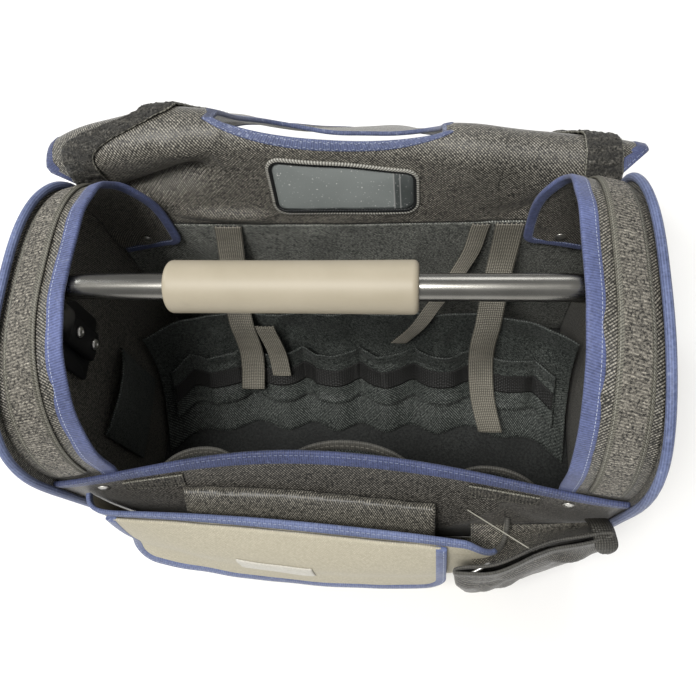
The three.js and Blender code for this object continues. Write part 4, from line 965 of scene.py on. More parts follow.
def lid_outline(inset):
    """The lid's edge from the foot of one wing round the free edge to the foot of the other."""
    half, top, radius = LID_WIDTH / 2 - inset, LID_LENGTH - inset, 10.5 - min(inset, 10)
    turn = np.linspace(0, math.pi / 2, 6)
    foot = [[HINGE_WIDTH / 2 + 3, 54.3 + 1.2 * inset], [half - 4, 69 + 0.6 * inset], [half, 73 + 0.5 * inset]]
    up = np.linspace(78, top - 12, 60)
    corner = np.stack([half - radius + radius * np.cos(turn), top - radius + radius * np.sin(turn)], -1)
    flank = np.concatenate([foot, np.stack([np.full(60, half), up], -1), corner])
    free = np.stack([np.linspace(-half + 14, half - 14, 80), np.full(80, top)], -1)
    mirror = np.array([-1, 1])
    return np.concatenate([flank * mirror, free, flank[::-1]])


rim, inside = lid_outline(0.0), lid_outline(10.0)
normal = normals(lid(False), *((rim + inside) / 2).T)
tape(
    "lid_edge_binding", on_lid(*rim.T, False), on_lid(*inside.T, False), normal, 4.2,
    blue_tape, "blue_binding",
)

# %% Loop strips down both wings
LOOP_HALF, LOOP_INSET, LOOP_LEAN = 14.0, 37.0, {"left": 64.0, "right": 14.0}
for name, side in SIDES:
    s, w = mesh_of(50, 402, 190, -LOOP_HALF, LOOP_HALF, 16)
    x = side * (LID_WIDTH / 2 - LOOP_INSET - LOOP_LEAN[name] * smooth(s, 84, 124)) + w
    fluff = 0.9 * np.random.default_rng(8).uniform(-1, 1, s.shape)
    rise = 3.0 + 0.9 * (np.abs(w) < 12.6) + fluff + lid_folds(x, s)
    name, flat = f"lid_{name}_loop_strip", np.stack([s, w], -1)
    cloth_sheet(name, lid(False), x, s, loop_pile, "hook_pile", 1.5, rise, flat)
print("lid trim done:", len(made), "pieces so far")

# %% [markdown]
# ## The window
# A clear pocket is sewn on the lid's inner face: a rounded frame of ribbed grey tape whose top falls
# to the right, a film inside it and a paler card behind most of the film.

# %% Window frame and film
def window_outline(inset):
    """A rounded box whose top falls to the right, as 160 points at even steps."""
    left, right, bottom, height, slant, radius = -60.0, 66.0, 14.0, 62.0, 14.0, 12.0
    x0, x1, s0, r = left + inset, right - inset, bottom + inset, max(radius - inset, 2.0)

    def top(x):
        return bottom + height - slant * (x - left) / (right - left) - inset

    corners = ((x0 + r, s0 + r, 2), (x1 - r, s0 + r, 3), (x1 - r, top(x1) - r, 0), (x0 + r, top(x0) - r, 1))
    rows = []
    for x, s, quarter in corners:
        t = (quarter + np.linspace(0, 1, 14)) * math.pi / 2
        rows.append(np.stack([x + r * np.cos(t), s + r * np.sin(t)], -1))
    line = np.concatenate(rows)
    line = np.concatenate([line, line[:1]])
    run = run_lengths(line)
    at = np.linspace(0, run[-1], 160, endpoint=False)
    return np.stack([np.interp(at, run, line[:, 0]), np.interp(at, run, line[:, 1])], -1)


def window_tape():
    """Ribbed pale tape on its outer half, a black seam on its inner half."""
    f = Finish("window frame", Roughness=0.4)
    u, v = f.flat()
    rib = u.wave(2.4)
    pale = f.mix((0.12, 0.115, 0.1), (0.5, 0.49, 0.44), rib)
    return f.paint(Base_Color=f.mix((0.008, 0.009, 0.009), pale, v > 0.2), Normal=f.bump(rib, 0.0004))


rim, inside = window_outline(0.0), window_outline(5.0)
normal = normals(lid(False), *((rim + inside) / 2).T)
tape(
    "window_frame", on_lid(*rim.T, False, 2.6), on_lid(*inside.T, False, 2.6), normal, 2.6,
    window_tape(), "grey_frame", closed=True, stands_for="lid_window_frame",
)


def film_finish():
    """Clear film on a grey backing: a paler card shows in most of it and a dark gap at its right."""
    f = Finish("window film", Coat_Weight=0.6, Coat_Roughness=0.08, Specular_IOR_Level=0.6)
    u, v = f.flat()
    card = (u < 45.0) * (v > 21.0)
    edge = ((u - 45.0).abs() < 0.6) + ((u - 50.0).abs() < 0.5)
    smoke = f.noise(26.0, 3.0)
    speck = f.noise(620.0, 1.0).between(0.7, 0.76)
    back = f.mix((0.08, 0.09, 0.088), (0.27, 0.295, 0.285), card * 0.9)
    tint = f.mix(back, (0.26, 0.28, 0.275), smoke.between(0.4, 0.8) * 0.5)
    colour = f.mix(f.mix(tint, (0.5, 0.5, 0.49), edge.least(1.0) * 0.5), (0.8, 0.8, 0.78), speck)
    return f.paint(Base_Color=colour, Roughness=smoke * 0.2 + 0.22)


film = window_outline(4.0)
share, ring = grid(np.linspace(0, 1, 12), np.arange(len(film)))
centre = film.mean(0)
spread = centre + (film[ring] - centre) * share[..., None]
bow = 2.0 + 1.2 * (1 - share**2) + ripples(spread[..., 0], spread[..., 1], 41, 40, 0.5)
points = on_lid(spread[..., 0], spread[..., 1], False, bow)
build(
    "window_film", points, grid_faces(*share.shape, False, True), spread, film_finish(), "clear_window",
    0.6, weld=0.01, stands_for="lid_window",
)
print("window done")

# %% [markdown]
# ## The handle
# One steel tube runs up from a flattened foot on the left panel, bends over, crosses the tote and
# comes down on the right. The section is a superellipse: round on the tube, flat at the feet. The
# grip is a sleeve turned from a profile with soft edges.

# %% Tube, grip, plates and screws
TUBE, HANDLE_Z, BEND, FOOT_Z, FOOT_THICK, FOOT_WIDE = 19.0, 354.0, 46.0, 233.0, 8.0, 26.0
seat_x = INNER - 3.0 - 0.3
foot_x, leg_x = seat_x - FOOT_THICK / 2, seat_x - TUBE / 2
bend_z = HANDLE_Z - BEND
drop = np.linspace(1, 0, 26)
flatness = smooth(drop, 0.1, 0.42)
leg = np.stack([leg_x + (foot_x - leg_x) * flatness, bend_z + (FOOT_Z - bend_z) * drop], -1)
bow = np.linspace(math.pi / 2, 0, 16)
curve = np.stack([leg_x - BEND + BEND * np.sin(bow), bend_z + BEND * np.cos(bow)], -1)
half = np.concatenate([leg[:-1], curve])
flatness = np.concatenate([flatness[:-1], np.zeros(16)])
heading = np.concatenate([np.full(25, math.pi / 2), bow])
line_x = np.concatenate([half[:, 0], -half[::-1, 0]])
line_z = np.concatenate([half[:, 1], half[::-1, 1]])
heading = np.concatenate([heading, -heading[::-1]])
flatness = np.concatenate([flatness, flatness[::-1]])
angle = full_turn(32)
flatness, heading = flatness[:, None], heading[:, None]
power = 1 - 0.5 * flatness
deep = (TUBE + (FOOT_THICK - TUBE) * flatness) / 2 * signed_power(np.cos(angle), power)
wide = (TUBE + (FOOT_WIDE - TUBE) * flatness) / 2 * signed_power(np.sin(angle), power)
ring_x, ring_z = line_x[:, None] + deep * np.sin(heading), line_z[:, None] + deep * np.cos(heading)
rings = np.stack([ring_x, wide, ring_z], -1)
ringed("handle_tube", rings, steel, "bright_steel")

GRIP, GRIP_LEFT, GRIP_LONG, GRIP_CORNER, GRIP_BORE = 37.0, -105.0, 174.0, 4.0, 9.9
step = np.linspace(0, math.pi / 2, 7)
corner_x, corner_at = GRIP / 2 - GRIP_CORNER, GRIP_LONG - GRIP_CORNER
waist = GRIP / 2 - 0.3 * np.sin(np.linspace(0, math.pi, 30))
profile = np.concatenate([
    [[GRIP_BORE, GRIP_CORNER], [GRIP_BORE, 0.0]],
    np.stack([corner_x + GRIP_CORNER * np.sin(step), GRIP_CORNER - GRIP_CORNER * np.cos(step)], -1),
    np.stack([waist, np.linspace(5, GRIP_LONG - 5, 30)], -1),
    np.stack([corner_x + GRIP_CORNER * np.cos(step), corner_at + GRIP_CORNER * np.sin(step)], -1),
    [[GRIP_BORE, GRIP_LONG], [GRIP_BORE, corner_at]],
])
angle = full_turn(56)
radius, at = profile[:, :1], profile[:, 1:]
y, z = radius * np.cos(angle), HANDLE_Z + radius * np.sin(angle)
rings = np.stack(np.broadcast_arrays(GRIP_LEFT + at, y, z), -1)
flat = np.stack(np.broadcast_arrays(at, GRIP / 2 * angle), -1)
faces = grid_faces(*y.shape, True, True)
build("handle_grip", rings, faces, flat, grip_rubber, "grip_rubber", closed=True)


def rounded_box(centre, wide, tall, thick, radius):
    """Rings of a rounded rectangle in y and z. They narrow into both faces, so all edges are soft."""
    count = 8
    soft = min(radius, thick / 2) * 0.8
    steps = np.array([[thick / 2 - soft, 0], [thick / 2 - soft * 0.3, soft * 0.3], [thick / 2, soft]])
    rings = []
    for x, inset in np.concatenate([steps[::-1] * [-1, 1], steps]):
        ring = []
        for quarter, (cy, cz) in enumerate(((1, 1), (-1, 1), (-1, -1), (1, -1))):
            t = (quarter + np.linspace(0, 1, count)) * math.pi / 2
            r = max(radius - inset, 0.1)
            y, z = cy * (wide / 2 - radius) + r * np.cos(t), cz * (tall / 2 - radius) + r * np.sin(t)
            ring.append(np.stack([np.full(count, x), y, z], -1))
        rings.append(np.concatenate(ring))
    return np.stack(rings) + np.asarray(centre)


def turned(profile, centre, direction):
    """A body of revolution: (radius, height) rows turned about a direction."""
    direction = unit(np.asarray(direction, float))
    side = unit(np.cross(direction, [0.31, 0.2, 0.93]))
    over = np.cross(direction, side)
    angle = full_turn(24)[:, None]
    circle = side * np.cos(angle) + over * np.sin(angle)
    return np.asarray(centre) + profile[:, 0, None, None] * circle + profile[:, 1, None, None] * direction


screw_profile = np.array(
    [[4.6, 0], [5.0, 0.5], [4.7, 1.6], [3.6, 2.6], [2.2, 3.0], [1.6, 3.0], [1.5, 2.0], [0.5, 2.0]]
)
for name, side in SIDES:
    plate = rounded_box((side * (INNER - 1.5), 0, FOOT_Z + 34), 58, 84, 3, 5.0)
    ringed(f"{name}_handle_plate", plate, black_plastic, "black_plastic")
    for place, up_step in (("lower", 0), ("upper", 28)):
        centre = (side * (foot_x - 4.3), 0, FOOT_Z + 7 + up_step)
        screw = turned(screw_profile, centre, (-side, 0, 0))
        ringed(f"{name}_{place}_screw", screw, rivet_steel, "bright_steel")
print("handle done:", len(made), "pieces so far")

# %% [markdown]
# ## Rivets
# A rivet is a dome with a rolled rim, seated on the cloth. It is turned about the wall's normal.

# %% Four rivets
rivet_profile = np.array([
    [3.6, 0], [4.5, 0.2], [4.6, 0.7], [4.1, 1.1], [3.6, 0.9], [3.2, 1.3], [2.2, 1.8], [1.0, 2.0], [0.3, 2.05],
])


def rivet(name, surface, a, b, side, offset):
    """A dome at one place of a surface, offset from it on the side it is seen from."""
    a, b = np.array([a], float), np.array([b], float)
    normal = side * normals(surface, a, b)[0]
    dome = turned(rivet_profile, surface(a, b)[0] + normal * offset, normal)
    ringed(name, dome, rivet_steel, "bright_steel")


rivet("left_front_rivet", front_wall, -190, 221, 1, 1.6)
rivet("right_front_rivet", front_wall, 183, 221, 1, 1.6)
for name, side in SIDES:
    rivet(f"{name}_ear_rivet", strip(side), 195, 36, -side, 3.0)

# %% [markdown]
# ## The front
# The front rim is bound in blue. A bulging khaki pocket stands off the wall, more at its right than
# at its left, and a khaki flap bound in blue hangs over it. Behind them a padded bar and two loop
# patches are sewn to the wall.

# %% Front rim binding and the pocket
x, z = np.linspace(-INNER, INNER, 200), np.full(200, WALL_HEIGHT)
up_line, low_line = front_wall(x, z), front_wall(x, z - RIM_BAND)
normal = normals(front_wall, x, z - RIM_BAND / 2)
tape("front_rim_binding", up_line, low_line, normal, 4.5, blue_tape, "blue_binding")

POCKET_LEFT, POCKET_RIGHT, POCKET_TOP, POCKET_LOW = -206.0, 140.0, 206.0, 14.0
POCKET_SEAT, POCKET_CUT, MOUTH_TOP, MOUTH_WIDE = 2.95, 198.0, 213.4, 7.8


def stand_off(x, z):
    """How far the pocket stands off: a mouth wider to the right, times its rounded ends and foot."""
    k = np.clip(2 * (x - POCKET_LEFT) / (POCKET_RIGHT - POCKET_LEFT) - 1, -1, 1)
    right_share, rise = (k + 1) / 2, np.maximum((z - POCKET_LOW) / (POCKET_TOP - POCKET_LOW), 0)
    ends = np.sqrt(np.maximum(1 - np.abs(k) ** 16, 0))
    foot = np.sqrt(np.maximum(1 - (1 - np.minimum(rise / 0.22, 1)) ** 2, 0))
    drawn_in = 7 * (1 - k**6)
    mouth = 18 + 20 * right_share + 8 * (1 - k * k) - drawn_in
    bulge = 2 - 11 * right_share + drawn_in
    return (mouth + bulge * np.sin(math.pi * np.minimum(rise, 1) ** 0.9)) * ends * foot


def pocket(x, z):
    return np.stack([x, front_y(x, z) - POCKET_SEAT - stand_off(x, z), z], -1)


def mouth_dip(x):
    """The mouth drops towards the pouch at its right end."""
    return 26 * smooth(x, 104, 140)


k, rise = grid(signed_power(eased(150), 0.7), np.linspace(0, 1, 70) ** 1.4)
x = POCKET_LEFT + (POCKET_RIGHT - POCKET_LEFT) * (k + 1) / 2
z = POCKET_LOW + POCKET_CUT * rise
calm = (1 - np.abs(k) ** 10) * smooth(z, 20, 60)
z = z - mouth_dip(x) * rise**2
folds = ripples(x, z, 51, 70, 1.4)
folds += creases(x, z, ((100, 190), (40, 150), 8, -2), ((110, 60), (125, 180), 7, 2))
cloth_sheet("front_pocket", pocket, x, z, khaki_cloth, "khaki_cloth", 2.0, folds * calm)


def mouth_tape(name, x, finish, slot):
    """A tape folded over the pocket's mouth."""
    z, out = MOUTH_TOP - mouth_dip(x), np.full(len(x), 0.6)
    top_line, low_line = lifted(pocket, x, z, out), lifted(pocket, x, z - MOUTH_WIDE, out)
    return tape(name, top_line, low_line, normals(pocket, x, z - 4.4), 3.8, finish, slot)


x = x[:, 0]
mouth_tape("front_pocket_binding", x[x < 131], pale_tape, "blue_binding")
# At the mouth's right end the binding is charcoal, not blue: painted shade, where that end of the mouth lies
# in shadow.
mouth_tape("pocket_end_binding", x[x > 129], dark_tape, "charcoal_nylon")

# %% The flap, its binding and a bare label patch
FLAP_LEFT, FLAP_RIGHT, FLAP_TOP, FLAP_LOW = -190.0, 92.0, 205.5, 112.0


def flap_outline(inset):
    """From the flap's top left corner down, along its foot and up to its top right corner."""
    left, right_x, low, r = FLAP_LEFT + inset, FLAP_RIGHT - inset, FLAP_LOW + inset, 20 - inset
    turn = np.linspace(0, math.pi / 2, 12)
    return np.concatenate([
        np.stack([np.full(20, left), np.linspace(FLAP_TOP, low + r, 20, endpoint=False)], -1),
        np.stack([left + r - r * np.cos(turn), low + r - r * np.sin(turn)], -1),
        np.stack([np.linspace(left + r, right_x - r, 62)[1:-1], np.full(60, low)], -1),
        np.stack([right_x - r + r * np.sin(turn), low + r - r * np.cos(turn)], -1),
        np.stack([np.full(20, right_x), np.linspace(low + r, FLAP_TOP, 21)[1:]], -1),
    ])


def flap_height(x, z):
    """The flap lies 3.9 mm off the pocket, swells between its edges and kicks out at its foot."""
    k = np.clip((x - FLAP_LEFT) / (FLAP_RIGHT - FLAP_LEFT), 0, 1)
    v = np.clip((z - FLAP_LOW) / (FLAP_TOP - FLAP_LOW), 0, 1)
    kick = (8 + 7 * (1 - k) ** 3) * (1 - np.minimum(v / 0.36, 1)) ** 1.6
    return 3.9 + kick + 1.5 * np.sin(math.pi * k) * np.sin(math.pi * v) + 0.6 * ripples(x, z, 52, 50, 1.0)


bottom = flap_outline(5.0)[20:-20]
x = np.repeat(bottom[:, :1], 34, 1)
z = bottom[:, 1:] + (FLAP_TOP - bottom[:, 1:]) * np.linspace(0, 1, 34)
cloth_sheet("pocket_flap", pocket, x, z, khaki_cloth, "khaki_cloth", 2.5, flap_height(x, z))

rim, inside = flap_outline(0.0), flap_outline(9.0)
rim_line, inside_line = (lifted(pocket, *line.T, flap_height(*line.T)) for line in (rim, inside))
tape(
    "flap_binding", rim_line, inside_line, normals(pocket, *((rim + inside) / 2).T), 4.0,
    pale_tape, "blue_binding", stands_for="pocket_flap_binding",
)

LABEL_LEFT, LABEL_RIGHT, LABEL_LOW, LABEL_TOP = -86, -20, 141, 165
x, z = mesh_of(LABEL_LEFT, LABEL_RIGHT, 40, LABEL_LOW, LABEL_TOP, 18)
rim_gap = np.minimum(np.minimum(x - LABEL_LEFT, LABEL_RIGHT - x), np.minimum(z - LABEL_LOW, LABEL_TOP - z))
pressed = 0.9 * np.exp(-rim_gap / 1.2) + 0.8 * np.exp(-((rim_gap - 3.5) / 0.9) ** 2)
lift_off = flap_height(x, z) + 2.6 - pressed
cloth_sheet("label_patch", pocket, x, z, label_cloth, "khaki_cloth", 0.9, lift_off)
print("flap done:", len(made), "pieces so far")

# %% Loop patches on the wall
PATCH_LOW, PATCH_TOP = 215.0, 228.0
for name, left, wide in (("left", -172.0, 50.0), ("right", 108.0, 54.0)):
    x, z = mesh_of(left, left + wide, 60, PATCH_LOW, PATCH_TOP, 16)
    height = 2.8 + 0.3 * np.random.default_rng(9).uniform(-1, 1, x.shape)
    flat = np.stack([x - left, z - (PATCH_LOW + PATCH_TOP) / 2], -1)
    name += "_front_loop_patch"
    cloth_sheet(name, front_wall, x, z, patch_pile, "hook_pile", 1.4, height, flat)

# %% [markdown]
# ## The padded bar
# The bar behind the flap is a stuffed tube of cloth, sewn flat along its edges. It is blown up by
# Blender's cloth simulation: the closed shape is remeshed evenly, pressure swells it for twenty
# frames, and how far a point may move is capped.

# %% Blow up the bar
def swell(piece, voxel, pressure, cap):
    """Voxel remesh, cloth pressure, and a cap on each point's move."""
    remesh = piece.modifiers.new("even mesh", "REMESH")
    remesh.mode, remesh.voxel_size = "VOXEL", voxel
    bpy.context.view_layer.objects.active = piece
    for other in bpy.context.selected_objects:
        other.select_set(False)
    piece.select_set(True)
    bpy.ops.object.modifier_apply(modifier=remesh.name)
    count = len(piece.data.vertices)
    before = np.empty(count * 3, np.float32)
    piece.data.vertices.foreach_get("co", before)
    cloth = piece.modifiers.new("pressure", "CLOTH")
    cloth.settings.use_pressure, cloth.settings.uniform_pressure_force = True, pressure
    cloth.settings.effector_weights.gravity = 0
    cloth.point_cache.frame_start, cloth.point_cache.frame_end = 1, 20
    scene = bpy.context.scene
    for step_frame in range(1, 21):
        scene.frame_set(step_frame)
    view = piece.evaluated_get(bpy.context.evaluated_depsgraph_get()).to_mesh()
    after = np.empty(count * 3, np.float32)
    view.vertices.foreach_get("co", after)
    piece.modifiers.remove(cloth)
    scene.frame_set(1)
    move = (after - before).reshape(-1, 3)
    far_move = np.linalg.norm(move, axis=1, keepdims=True)
    move *= np.minimum(1, cap * MM / np.maximum(far_move, 1e-9))
    piece.data.vertices.foreach_set("co", (before.reshape(-1, 3) + move).ravel())
    piece.data.polygons.foreach_set("use_smooth", np.ones(len(piece.data.polygons), bool))
    piece.data.update()
    print("swelled", piece.name, count, "points, most", round(float(far_move.max() * 1000), 1), "mm")


BAR_LEFT, BAR_RIGHT, BAR_LOW, BAR_TALL, BAR_TAPER = -125, 83, 166, 48, 10
x, v = mesh_of(BAR_LEFT, BAR_RIGHT, 90, 0, 1, 18)
z = BAR_LOW + (BAR_TALL - BAR_TAPER * (x - BAR_LEFT) / (BAR_RIGHT - BAR_LEFT)) * v
end_gap = np.minimum(x - BAR_LEFT, BAR_RIGHT - x) + 3
puff = 2.0 * np.sin(math.pi * np.clip(v, 0.02, 0.98)) ** 0.6 * np.minimum(1, end_gap / 8)
lean_out = (1 - v) * (12 + 5 * (x - BAR_LEFT) / (BAR_RIGHT - BAR_LEFT))
near_side = lifted(front_wall, x, z, 2.6 + 0.9 * lean_out)
far_side = lifted(front_wall, x, z, 8.2 + puff + lean_out)
points = np.concatenate([near_side, far_side[:, ::-1]], 1)
flat = np.stack([x, z], -1)
flat = np.concatenate([flat, flat[:, ::-1]], 1)
caps = [end.mean(1, keepdims=True).repeat(points.shape[1], 1) for end in (points[:1], points[-1:])]
points = np.concatenate([caps[0], points, caps[1]])
flat = np.concatenate([flat[:1], flat, flat[-1:]])
faces = grid_faces(*points.shape[:2], False, True)
plain_cloth = woven("bar cloth", (0.01, 0.01, 0.009), (0.44, 0.41, 0.34), 1.9, 0.0003)
bar = build("closure_bar", points, faces, flat, plain_cloth, "charcoal_nylon", closed=True)


def flat_from_front(piece):
    """After a remesh a piece has no flat coordinates: x and z serve, because it faces the front."""
    mesh = piece.data
    corner = np.empty(len(mesh.loops), np.int32)
    mesh.loops.foreach_get("vertex_index", corner)
    place = np.empty(len(mesh.vertices) * 3, np.float32)
    mesh.vertices.foreach_get("co", place)
    place = place.reshape(-1, 3)[corner]
    layer = mesh.uv_layers.get("flat") or mesh.uv_layers.new(name="flat")
    layer.data.foreach_set("uv", place[:, [0, 2]].ravel())


swell(bar, 0.0018, 4.0, 1.5)
flat_from_front(bar)
soft = bar.modifiers.new("soft", "SUBSURF")
soft.levels = soft.render_levels = 1

# %% [markdown]
# ## The pouch
# At the right end of the front hangs a flat cloth pouch, crumpled, with its mouth nearly closed. It
# follows a bent line from the flap's corner to the tote's corner. Its rings are narrow at the mouth
# and wider below, where they also lean outwards, so that its front shows from above.

# %% Pouch and its binding
POUCH_TOP, POUCH_LOW, POUCH_HALF, POUCH_AT = 196.0, 46.0, 63.0, 158.0
bend_x = np.array([92, 110, 125, 146, 181, 204, 226.0])
bend_y = np.array([-173, -170, -167, -160, -146, -140, -138.0])


def pouch_place(points):
    """From the pouch's own length and depth to the tote: its middle line bends with x."""
    x, y, z = np.moveaxis(points, -1, 0)
    place_x = POUCH_AT + 0.97 * x
    return np.stack([place_x, along(bend_x, bend_y, place_x) + y, z], -1)


def pouch_ring(z, inset):
    """A rounded flat oval: cos and sin to the power 0.55. It is narrow at the mouth, and from there
    down it bulges outwards; creases make its faces uneven."""
    rise = (z - POUCH_LOW) / (POUCH_TOP - POUCH_LOW)
    down = smooth(POUCH_TOP + 8 - z, 0, 30)
    half_long = POUCH_HALF * (0.78 + 0.22 * min(rise, 1)) - inset
    half_deep = (3.4 + 5.6 * down) * (0.8 + 0.2 * rise) - inset
    angle = full_turn(120)
    s = np.sin(angle)
    x = half_long * signed_power(np.cos(angle), 0.55)
    level = np.full(len(angle), z)
    crumple = ripples(x, level, 83, 34, 2.2) + creases(
        x, level, ((-60, 190), (20, 150), 5, 4), ((0, 200), (50, 170), 4, -4),
        ((-40, 200), (-10, 160), 4, 3), ((-55, 175), (10, 120), 6, -3),
    )
    wave = 1.6 * np.sin(x / 11.0 + 1) * (1 - down)
    y = max(half_deep, 1.2) * signed_power(s, 0.55) - 4.0 * down + wave + crumple * down * np.abs(s)
    return pouch_place(np.stack([x, y, level], -1))


rings = [pouch_ring(POUCH_LOW, 6.0), pouch_ring(POUCH_LOW + 1, 2.0)]
rings += [pouch_ring(z, 0) for z in np.linspace(50, POUCH_TOP + 6, 60)]
rings += [pouch_ring(z, 1.8) for z in np.linspace(POUCH_TOP + 6, 60, 40)] + [pouch_ring(56.0, 4.0)]
pouch_cloth = woven("pouch cloth", (0.005, 0.005, 0.004), (0.24, 0.22, 0.175))
pouch = ringed("pouch", np.stack(rings), pouch_cloth, "charcoal_nylon")
foot_ring, mid_ring, edge_ring = (pouch_ring(POUCH_TOP + rise, 0.6) for rise in (0, 4, 8))
outward = unit(np.cross(np.roll(mid_ring, -1, 0) - np.roll(mid_ring, 1, 0), [0, 0, 1.0]))
tape("pouch_binding", edge_ring, foot_ring, outward, 2.6, dark_tape, "charcoal_nylon", closed=True)
waist_ring = pouch_ring(130.0, 0)

# %% The gusset behind the pouch, the pin and the webbing lobe
GUSSET_LEFT, GUSSET_RIGHT, GUSSET_LOW, GUSSET_DEEP = 112.0, 216.0, 168.0, 40.0
x, share = mesh_of(GUSSET_LEFT, GUSSET_RIGHT, 70, 0, 1, 24)
sunk = 0.1 * (x - GUSSET_LEFT)
wall_y, back_lip = front_y(x, GUSSET_LOW - sunk) - 1.8, along(bend_x, bend_y, x) + 3.0
y = wall_y + (back_lip - wall_y) * share
flat = np.stack([x, GUSSET_DEEP * share], -1)
z = GUSSET_LOW - sunk + (24 + sunk) * share**2 + 1.5 * ripples(x, flat[..., 1], 84, 40, 1.0)
gusset = np.stack([x, y, z], -1)
build("pouch_gusset", gusset, grid_faces(*x.shape), flat, outer_cloth, "charcoal_nylon", 1.6)
ends = np.array([front_wall(np.array(108.0), np.array(195.0)) + [0, -2.2, 1.0], [158.0, -152.0, 197.0]])
seam = ends[0] + (ends[1] - ends[0]) * np.linspace(0, 1, 40)[:, None]
seam_thread = plastic_finish("pale thread", (0.25, 0.24, 0.2), (0.4, 0.39, 0.33), 0.6)
pipe("gusset_seam", seam, 0.55, seam_thread, "charcoal_nylon", 8)
pin = np.array([108.0, -173.0, 199.0]) + np.array([17.0, 9.5, 1.5]) * np.linspace(0, 1, 8)[:, None]
pipe("pouch_bar", pin, 1.5, rivet_steel, "bright_steel")

w, a = mesh_of(-1, 1, 18, 0, 1, 44)
path_at = np.array([0, 0.3, 0.6, 0.85, 1.0])
path_y = along(path_at, np.array([-122.0, -132, -142, -148, -151]), a)
path_z = along(path_at, np.array([176.0, 196, 204, 200, 194]), a)
wide = 8.5 * np.sqrt(np.clip(1 - np.clip((a - 0.72) / 0.285, 0, 1) ** 2, 0.01, 1))
lobe = np.stack([212 + w * wide + 2 * a, path_y, path_z - 2.0 * w * w + 1.2 * np.sin(9 * a)], -1)
flat = np.stack([48 * a, w * wide], -1)
build("pouch_tab", lobe, grid_faces(*a.shape), flat, lobe_webbing, "dark_webbing", 2.4)
print("pouch done:", len(made), "pieces so far")

# %% [markdown]
# ## Inside
# Along the back a panel of pleated pockets slopes down to the floor. A row of small pockets and an
# elastic band follow the same pleats. Three pockets with rounded tops stand off the front wall, and
# one stands off the left side.

# %% The pocket panel, its row of pockets and the elastic
slope_at = np.array([0, 0.25, 0.5, 0.75, 1.0])
slope_drop = np.array([0, 0.25, 0.48, 0.72, 1.0])
slope_forward = np.array([0, 0.07, 0.2, 0.48, 1.0])
PITCH, PANEL_HALF = 62.0, 218.0


def pocket_panel(x, h):
    """h from the panel's foot (0) to its top edge (100): a slope that flattens towards the floor,
    with a cosine of x for the pleats."""
    at = 1 - h / 100
    drop, forward_share = along(slope_at, slope_drop, at), along(slope_at, slope_forward, at)
    corner = np.clip((np.abs(x) - 125) / (PANEL_HALF - 125), 0, 1) ** 2
    wave = np.cos(2 * math.pi * x / PITCH + 0.9 * np.sin(x / 57)) * (1 + 4 * np.clip(at, 0, 1))
    return np.stack([x, 78 - 84 * forward_share - 30 * corner + wave, 132 + (5.7 - 132) * drop], -1)


def on_panel(name, x, h, finish, slot, thick, rise, **more):
    """A sheet on the panel; 100 steps of h are 160 mm of cloth."""
    cloth_sheet(name, pocket_panel, x, h, finish, slot, thick, rise, np.stack([x, 1.6 * h], -1), **more)


def row_rise(x, h):
    """The pockets bulge between the seams, by a sine to the power 0.7, and carry pleats."""
    return 9 * np.abs(np.sin(math.pi * x / PITCH)) ** 0.7 + pleats(x, h, 65, 14, 2.5)


x, h = mesh_of(-PANEL_HALF, PANEL_HALF, 300, 0, 100, 60)
dents = ripples(x, 1.6 * h, 61, 45, 2.0) * smooth(h, 4, 20) + pleats(x, h, 64)
on_panel("pocket_panel", x, h, panel_cloth, "dark_lining", 1.8, dents, stands_for="back_pocket_panel")
x, h = mesh_of(-210, 210, 260, 16, 58, 26)
rise = 3.2 + row_rise(x, h) + 1.6 * ripples(x, 1.6 * h, 62, 30, 1.0) + 2.5 * smooth(h, 44, 58)
on_panel("pocket_row", x, h, panel_cloth, "dark_lining", 1.4, rise)
x, h = mesh_of(-210, 210, 260, 27, 41, 12)
on_panel("elastic_band", x, h, elastic, "dark_webbing", 1.2, 6.0 + row_rise(x, h))
print("panel done:", len(made), "pieces so far")

# %% The pockets with rounded tops
inner_pockets = (
    ("left_inner", -152, -72, 118, 222, 20), ("middle_inner", -52, 76, 118, 222, 24),
    ("right_inner", 88, 168, 118, 218, 18), ("left_side", -62, 24, 70, 178, 12),
)


def on_front(p, z, out):
    return np.stack([p, front_y(p, z) + 2.85 + out, z], -1)


def on_left_side(p, z, out):
    return np.stack([-INNER + 1.4 + out, p, z], -1)


def inner_pocket(left, right_end, low, high, reach, wall):
    """A pocket whose mouth stands off its wall: reach times an arc across times a power of height."""
    def surface(p, z):
        k = np.clip(2 * (p - left) / (right_end - left) - 1, -1, 1)
        rise = np.clip((z - low) / (high - low), 0, 1.2)
        return wall(p, z, reach * (1 - k * k) ** 0.6 * rise**0.8)
    k = -np.cos(np.linspace(0, math.pi, 48))[:, None]
    v = np.linspace(0, 1, 32)[None]
    p = left + (right_end - left) * (k + 1) / 2 + 0 * v
    z = low + (high - 9 * np.abs(k) ** 3 - low) * v
    return surface, p, z


for name, left, right_end, low, high, reach in inner_pockets:
    wall, seed = (on_left_side, 72) if name == "left_side" else (on_front, 71)
    surface, p, z = inner_pocket(left, right_end, low, high, reach, wall)
    name, dents = f"{name}_pocket", ripples(p, z, seed, 40, 0.8)
    cloth_sheet(name, surface, p, z, panel_cloth, "dark_lining", 1.8, dents)
    if wall == on_front:
        p, z = p[1:-1, -1], z[1:-1, -1]
        normal = normals(surface, p, z - 3)
        hem = (surface(p, z + 0.6), surface(p, z - 6.0), normal, 3.0, dark_tape, "dark_lining")
        tape(f"{name}_hem", *hem)
print("inner pockets done:", len(made), "pieces so far")

# %% [markdown]
# ## Straps
# Webbing straps hang from the back rim and lie over the pockets. A strap is a ribbon: a path of
# y and z that all of them share, an x of their own, and a slightly hollow section.

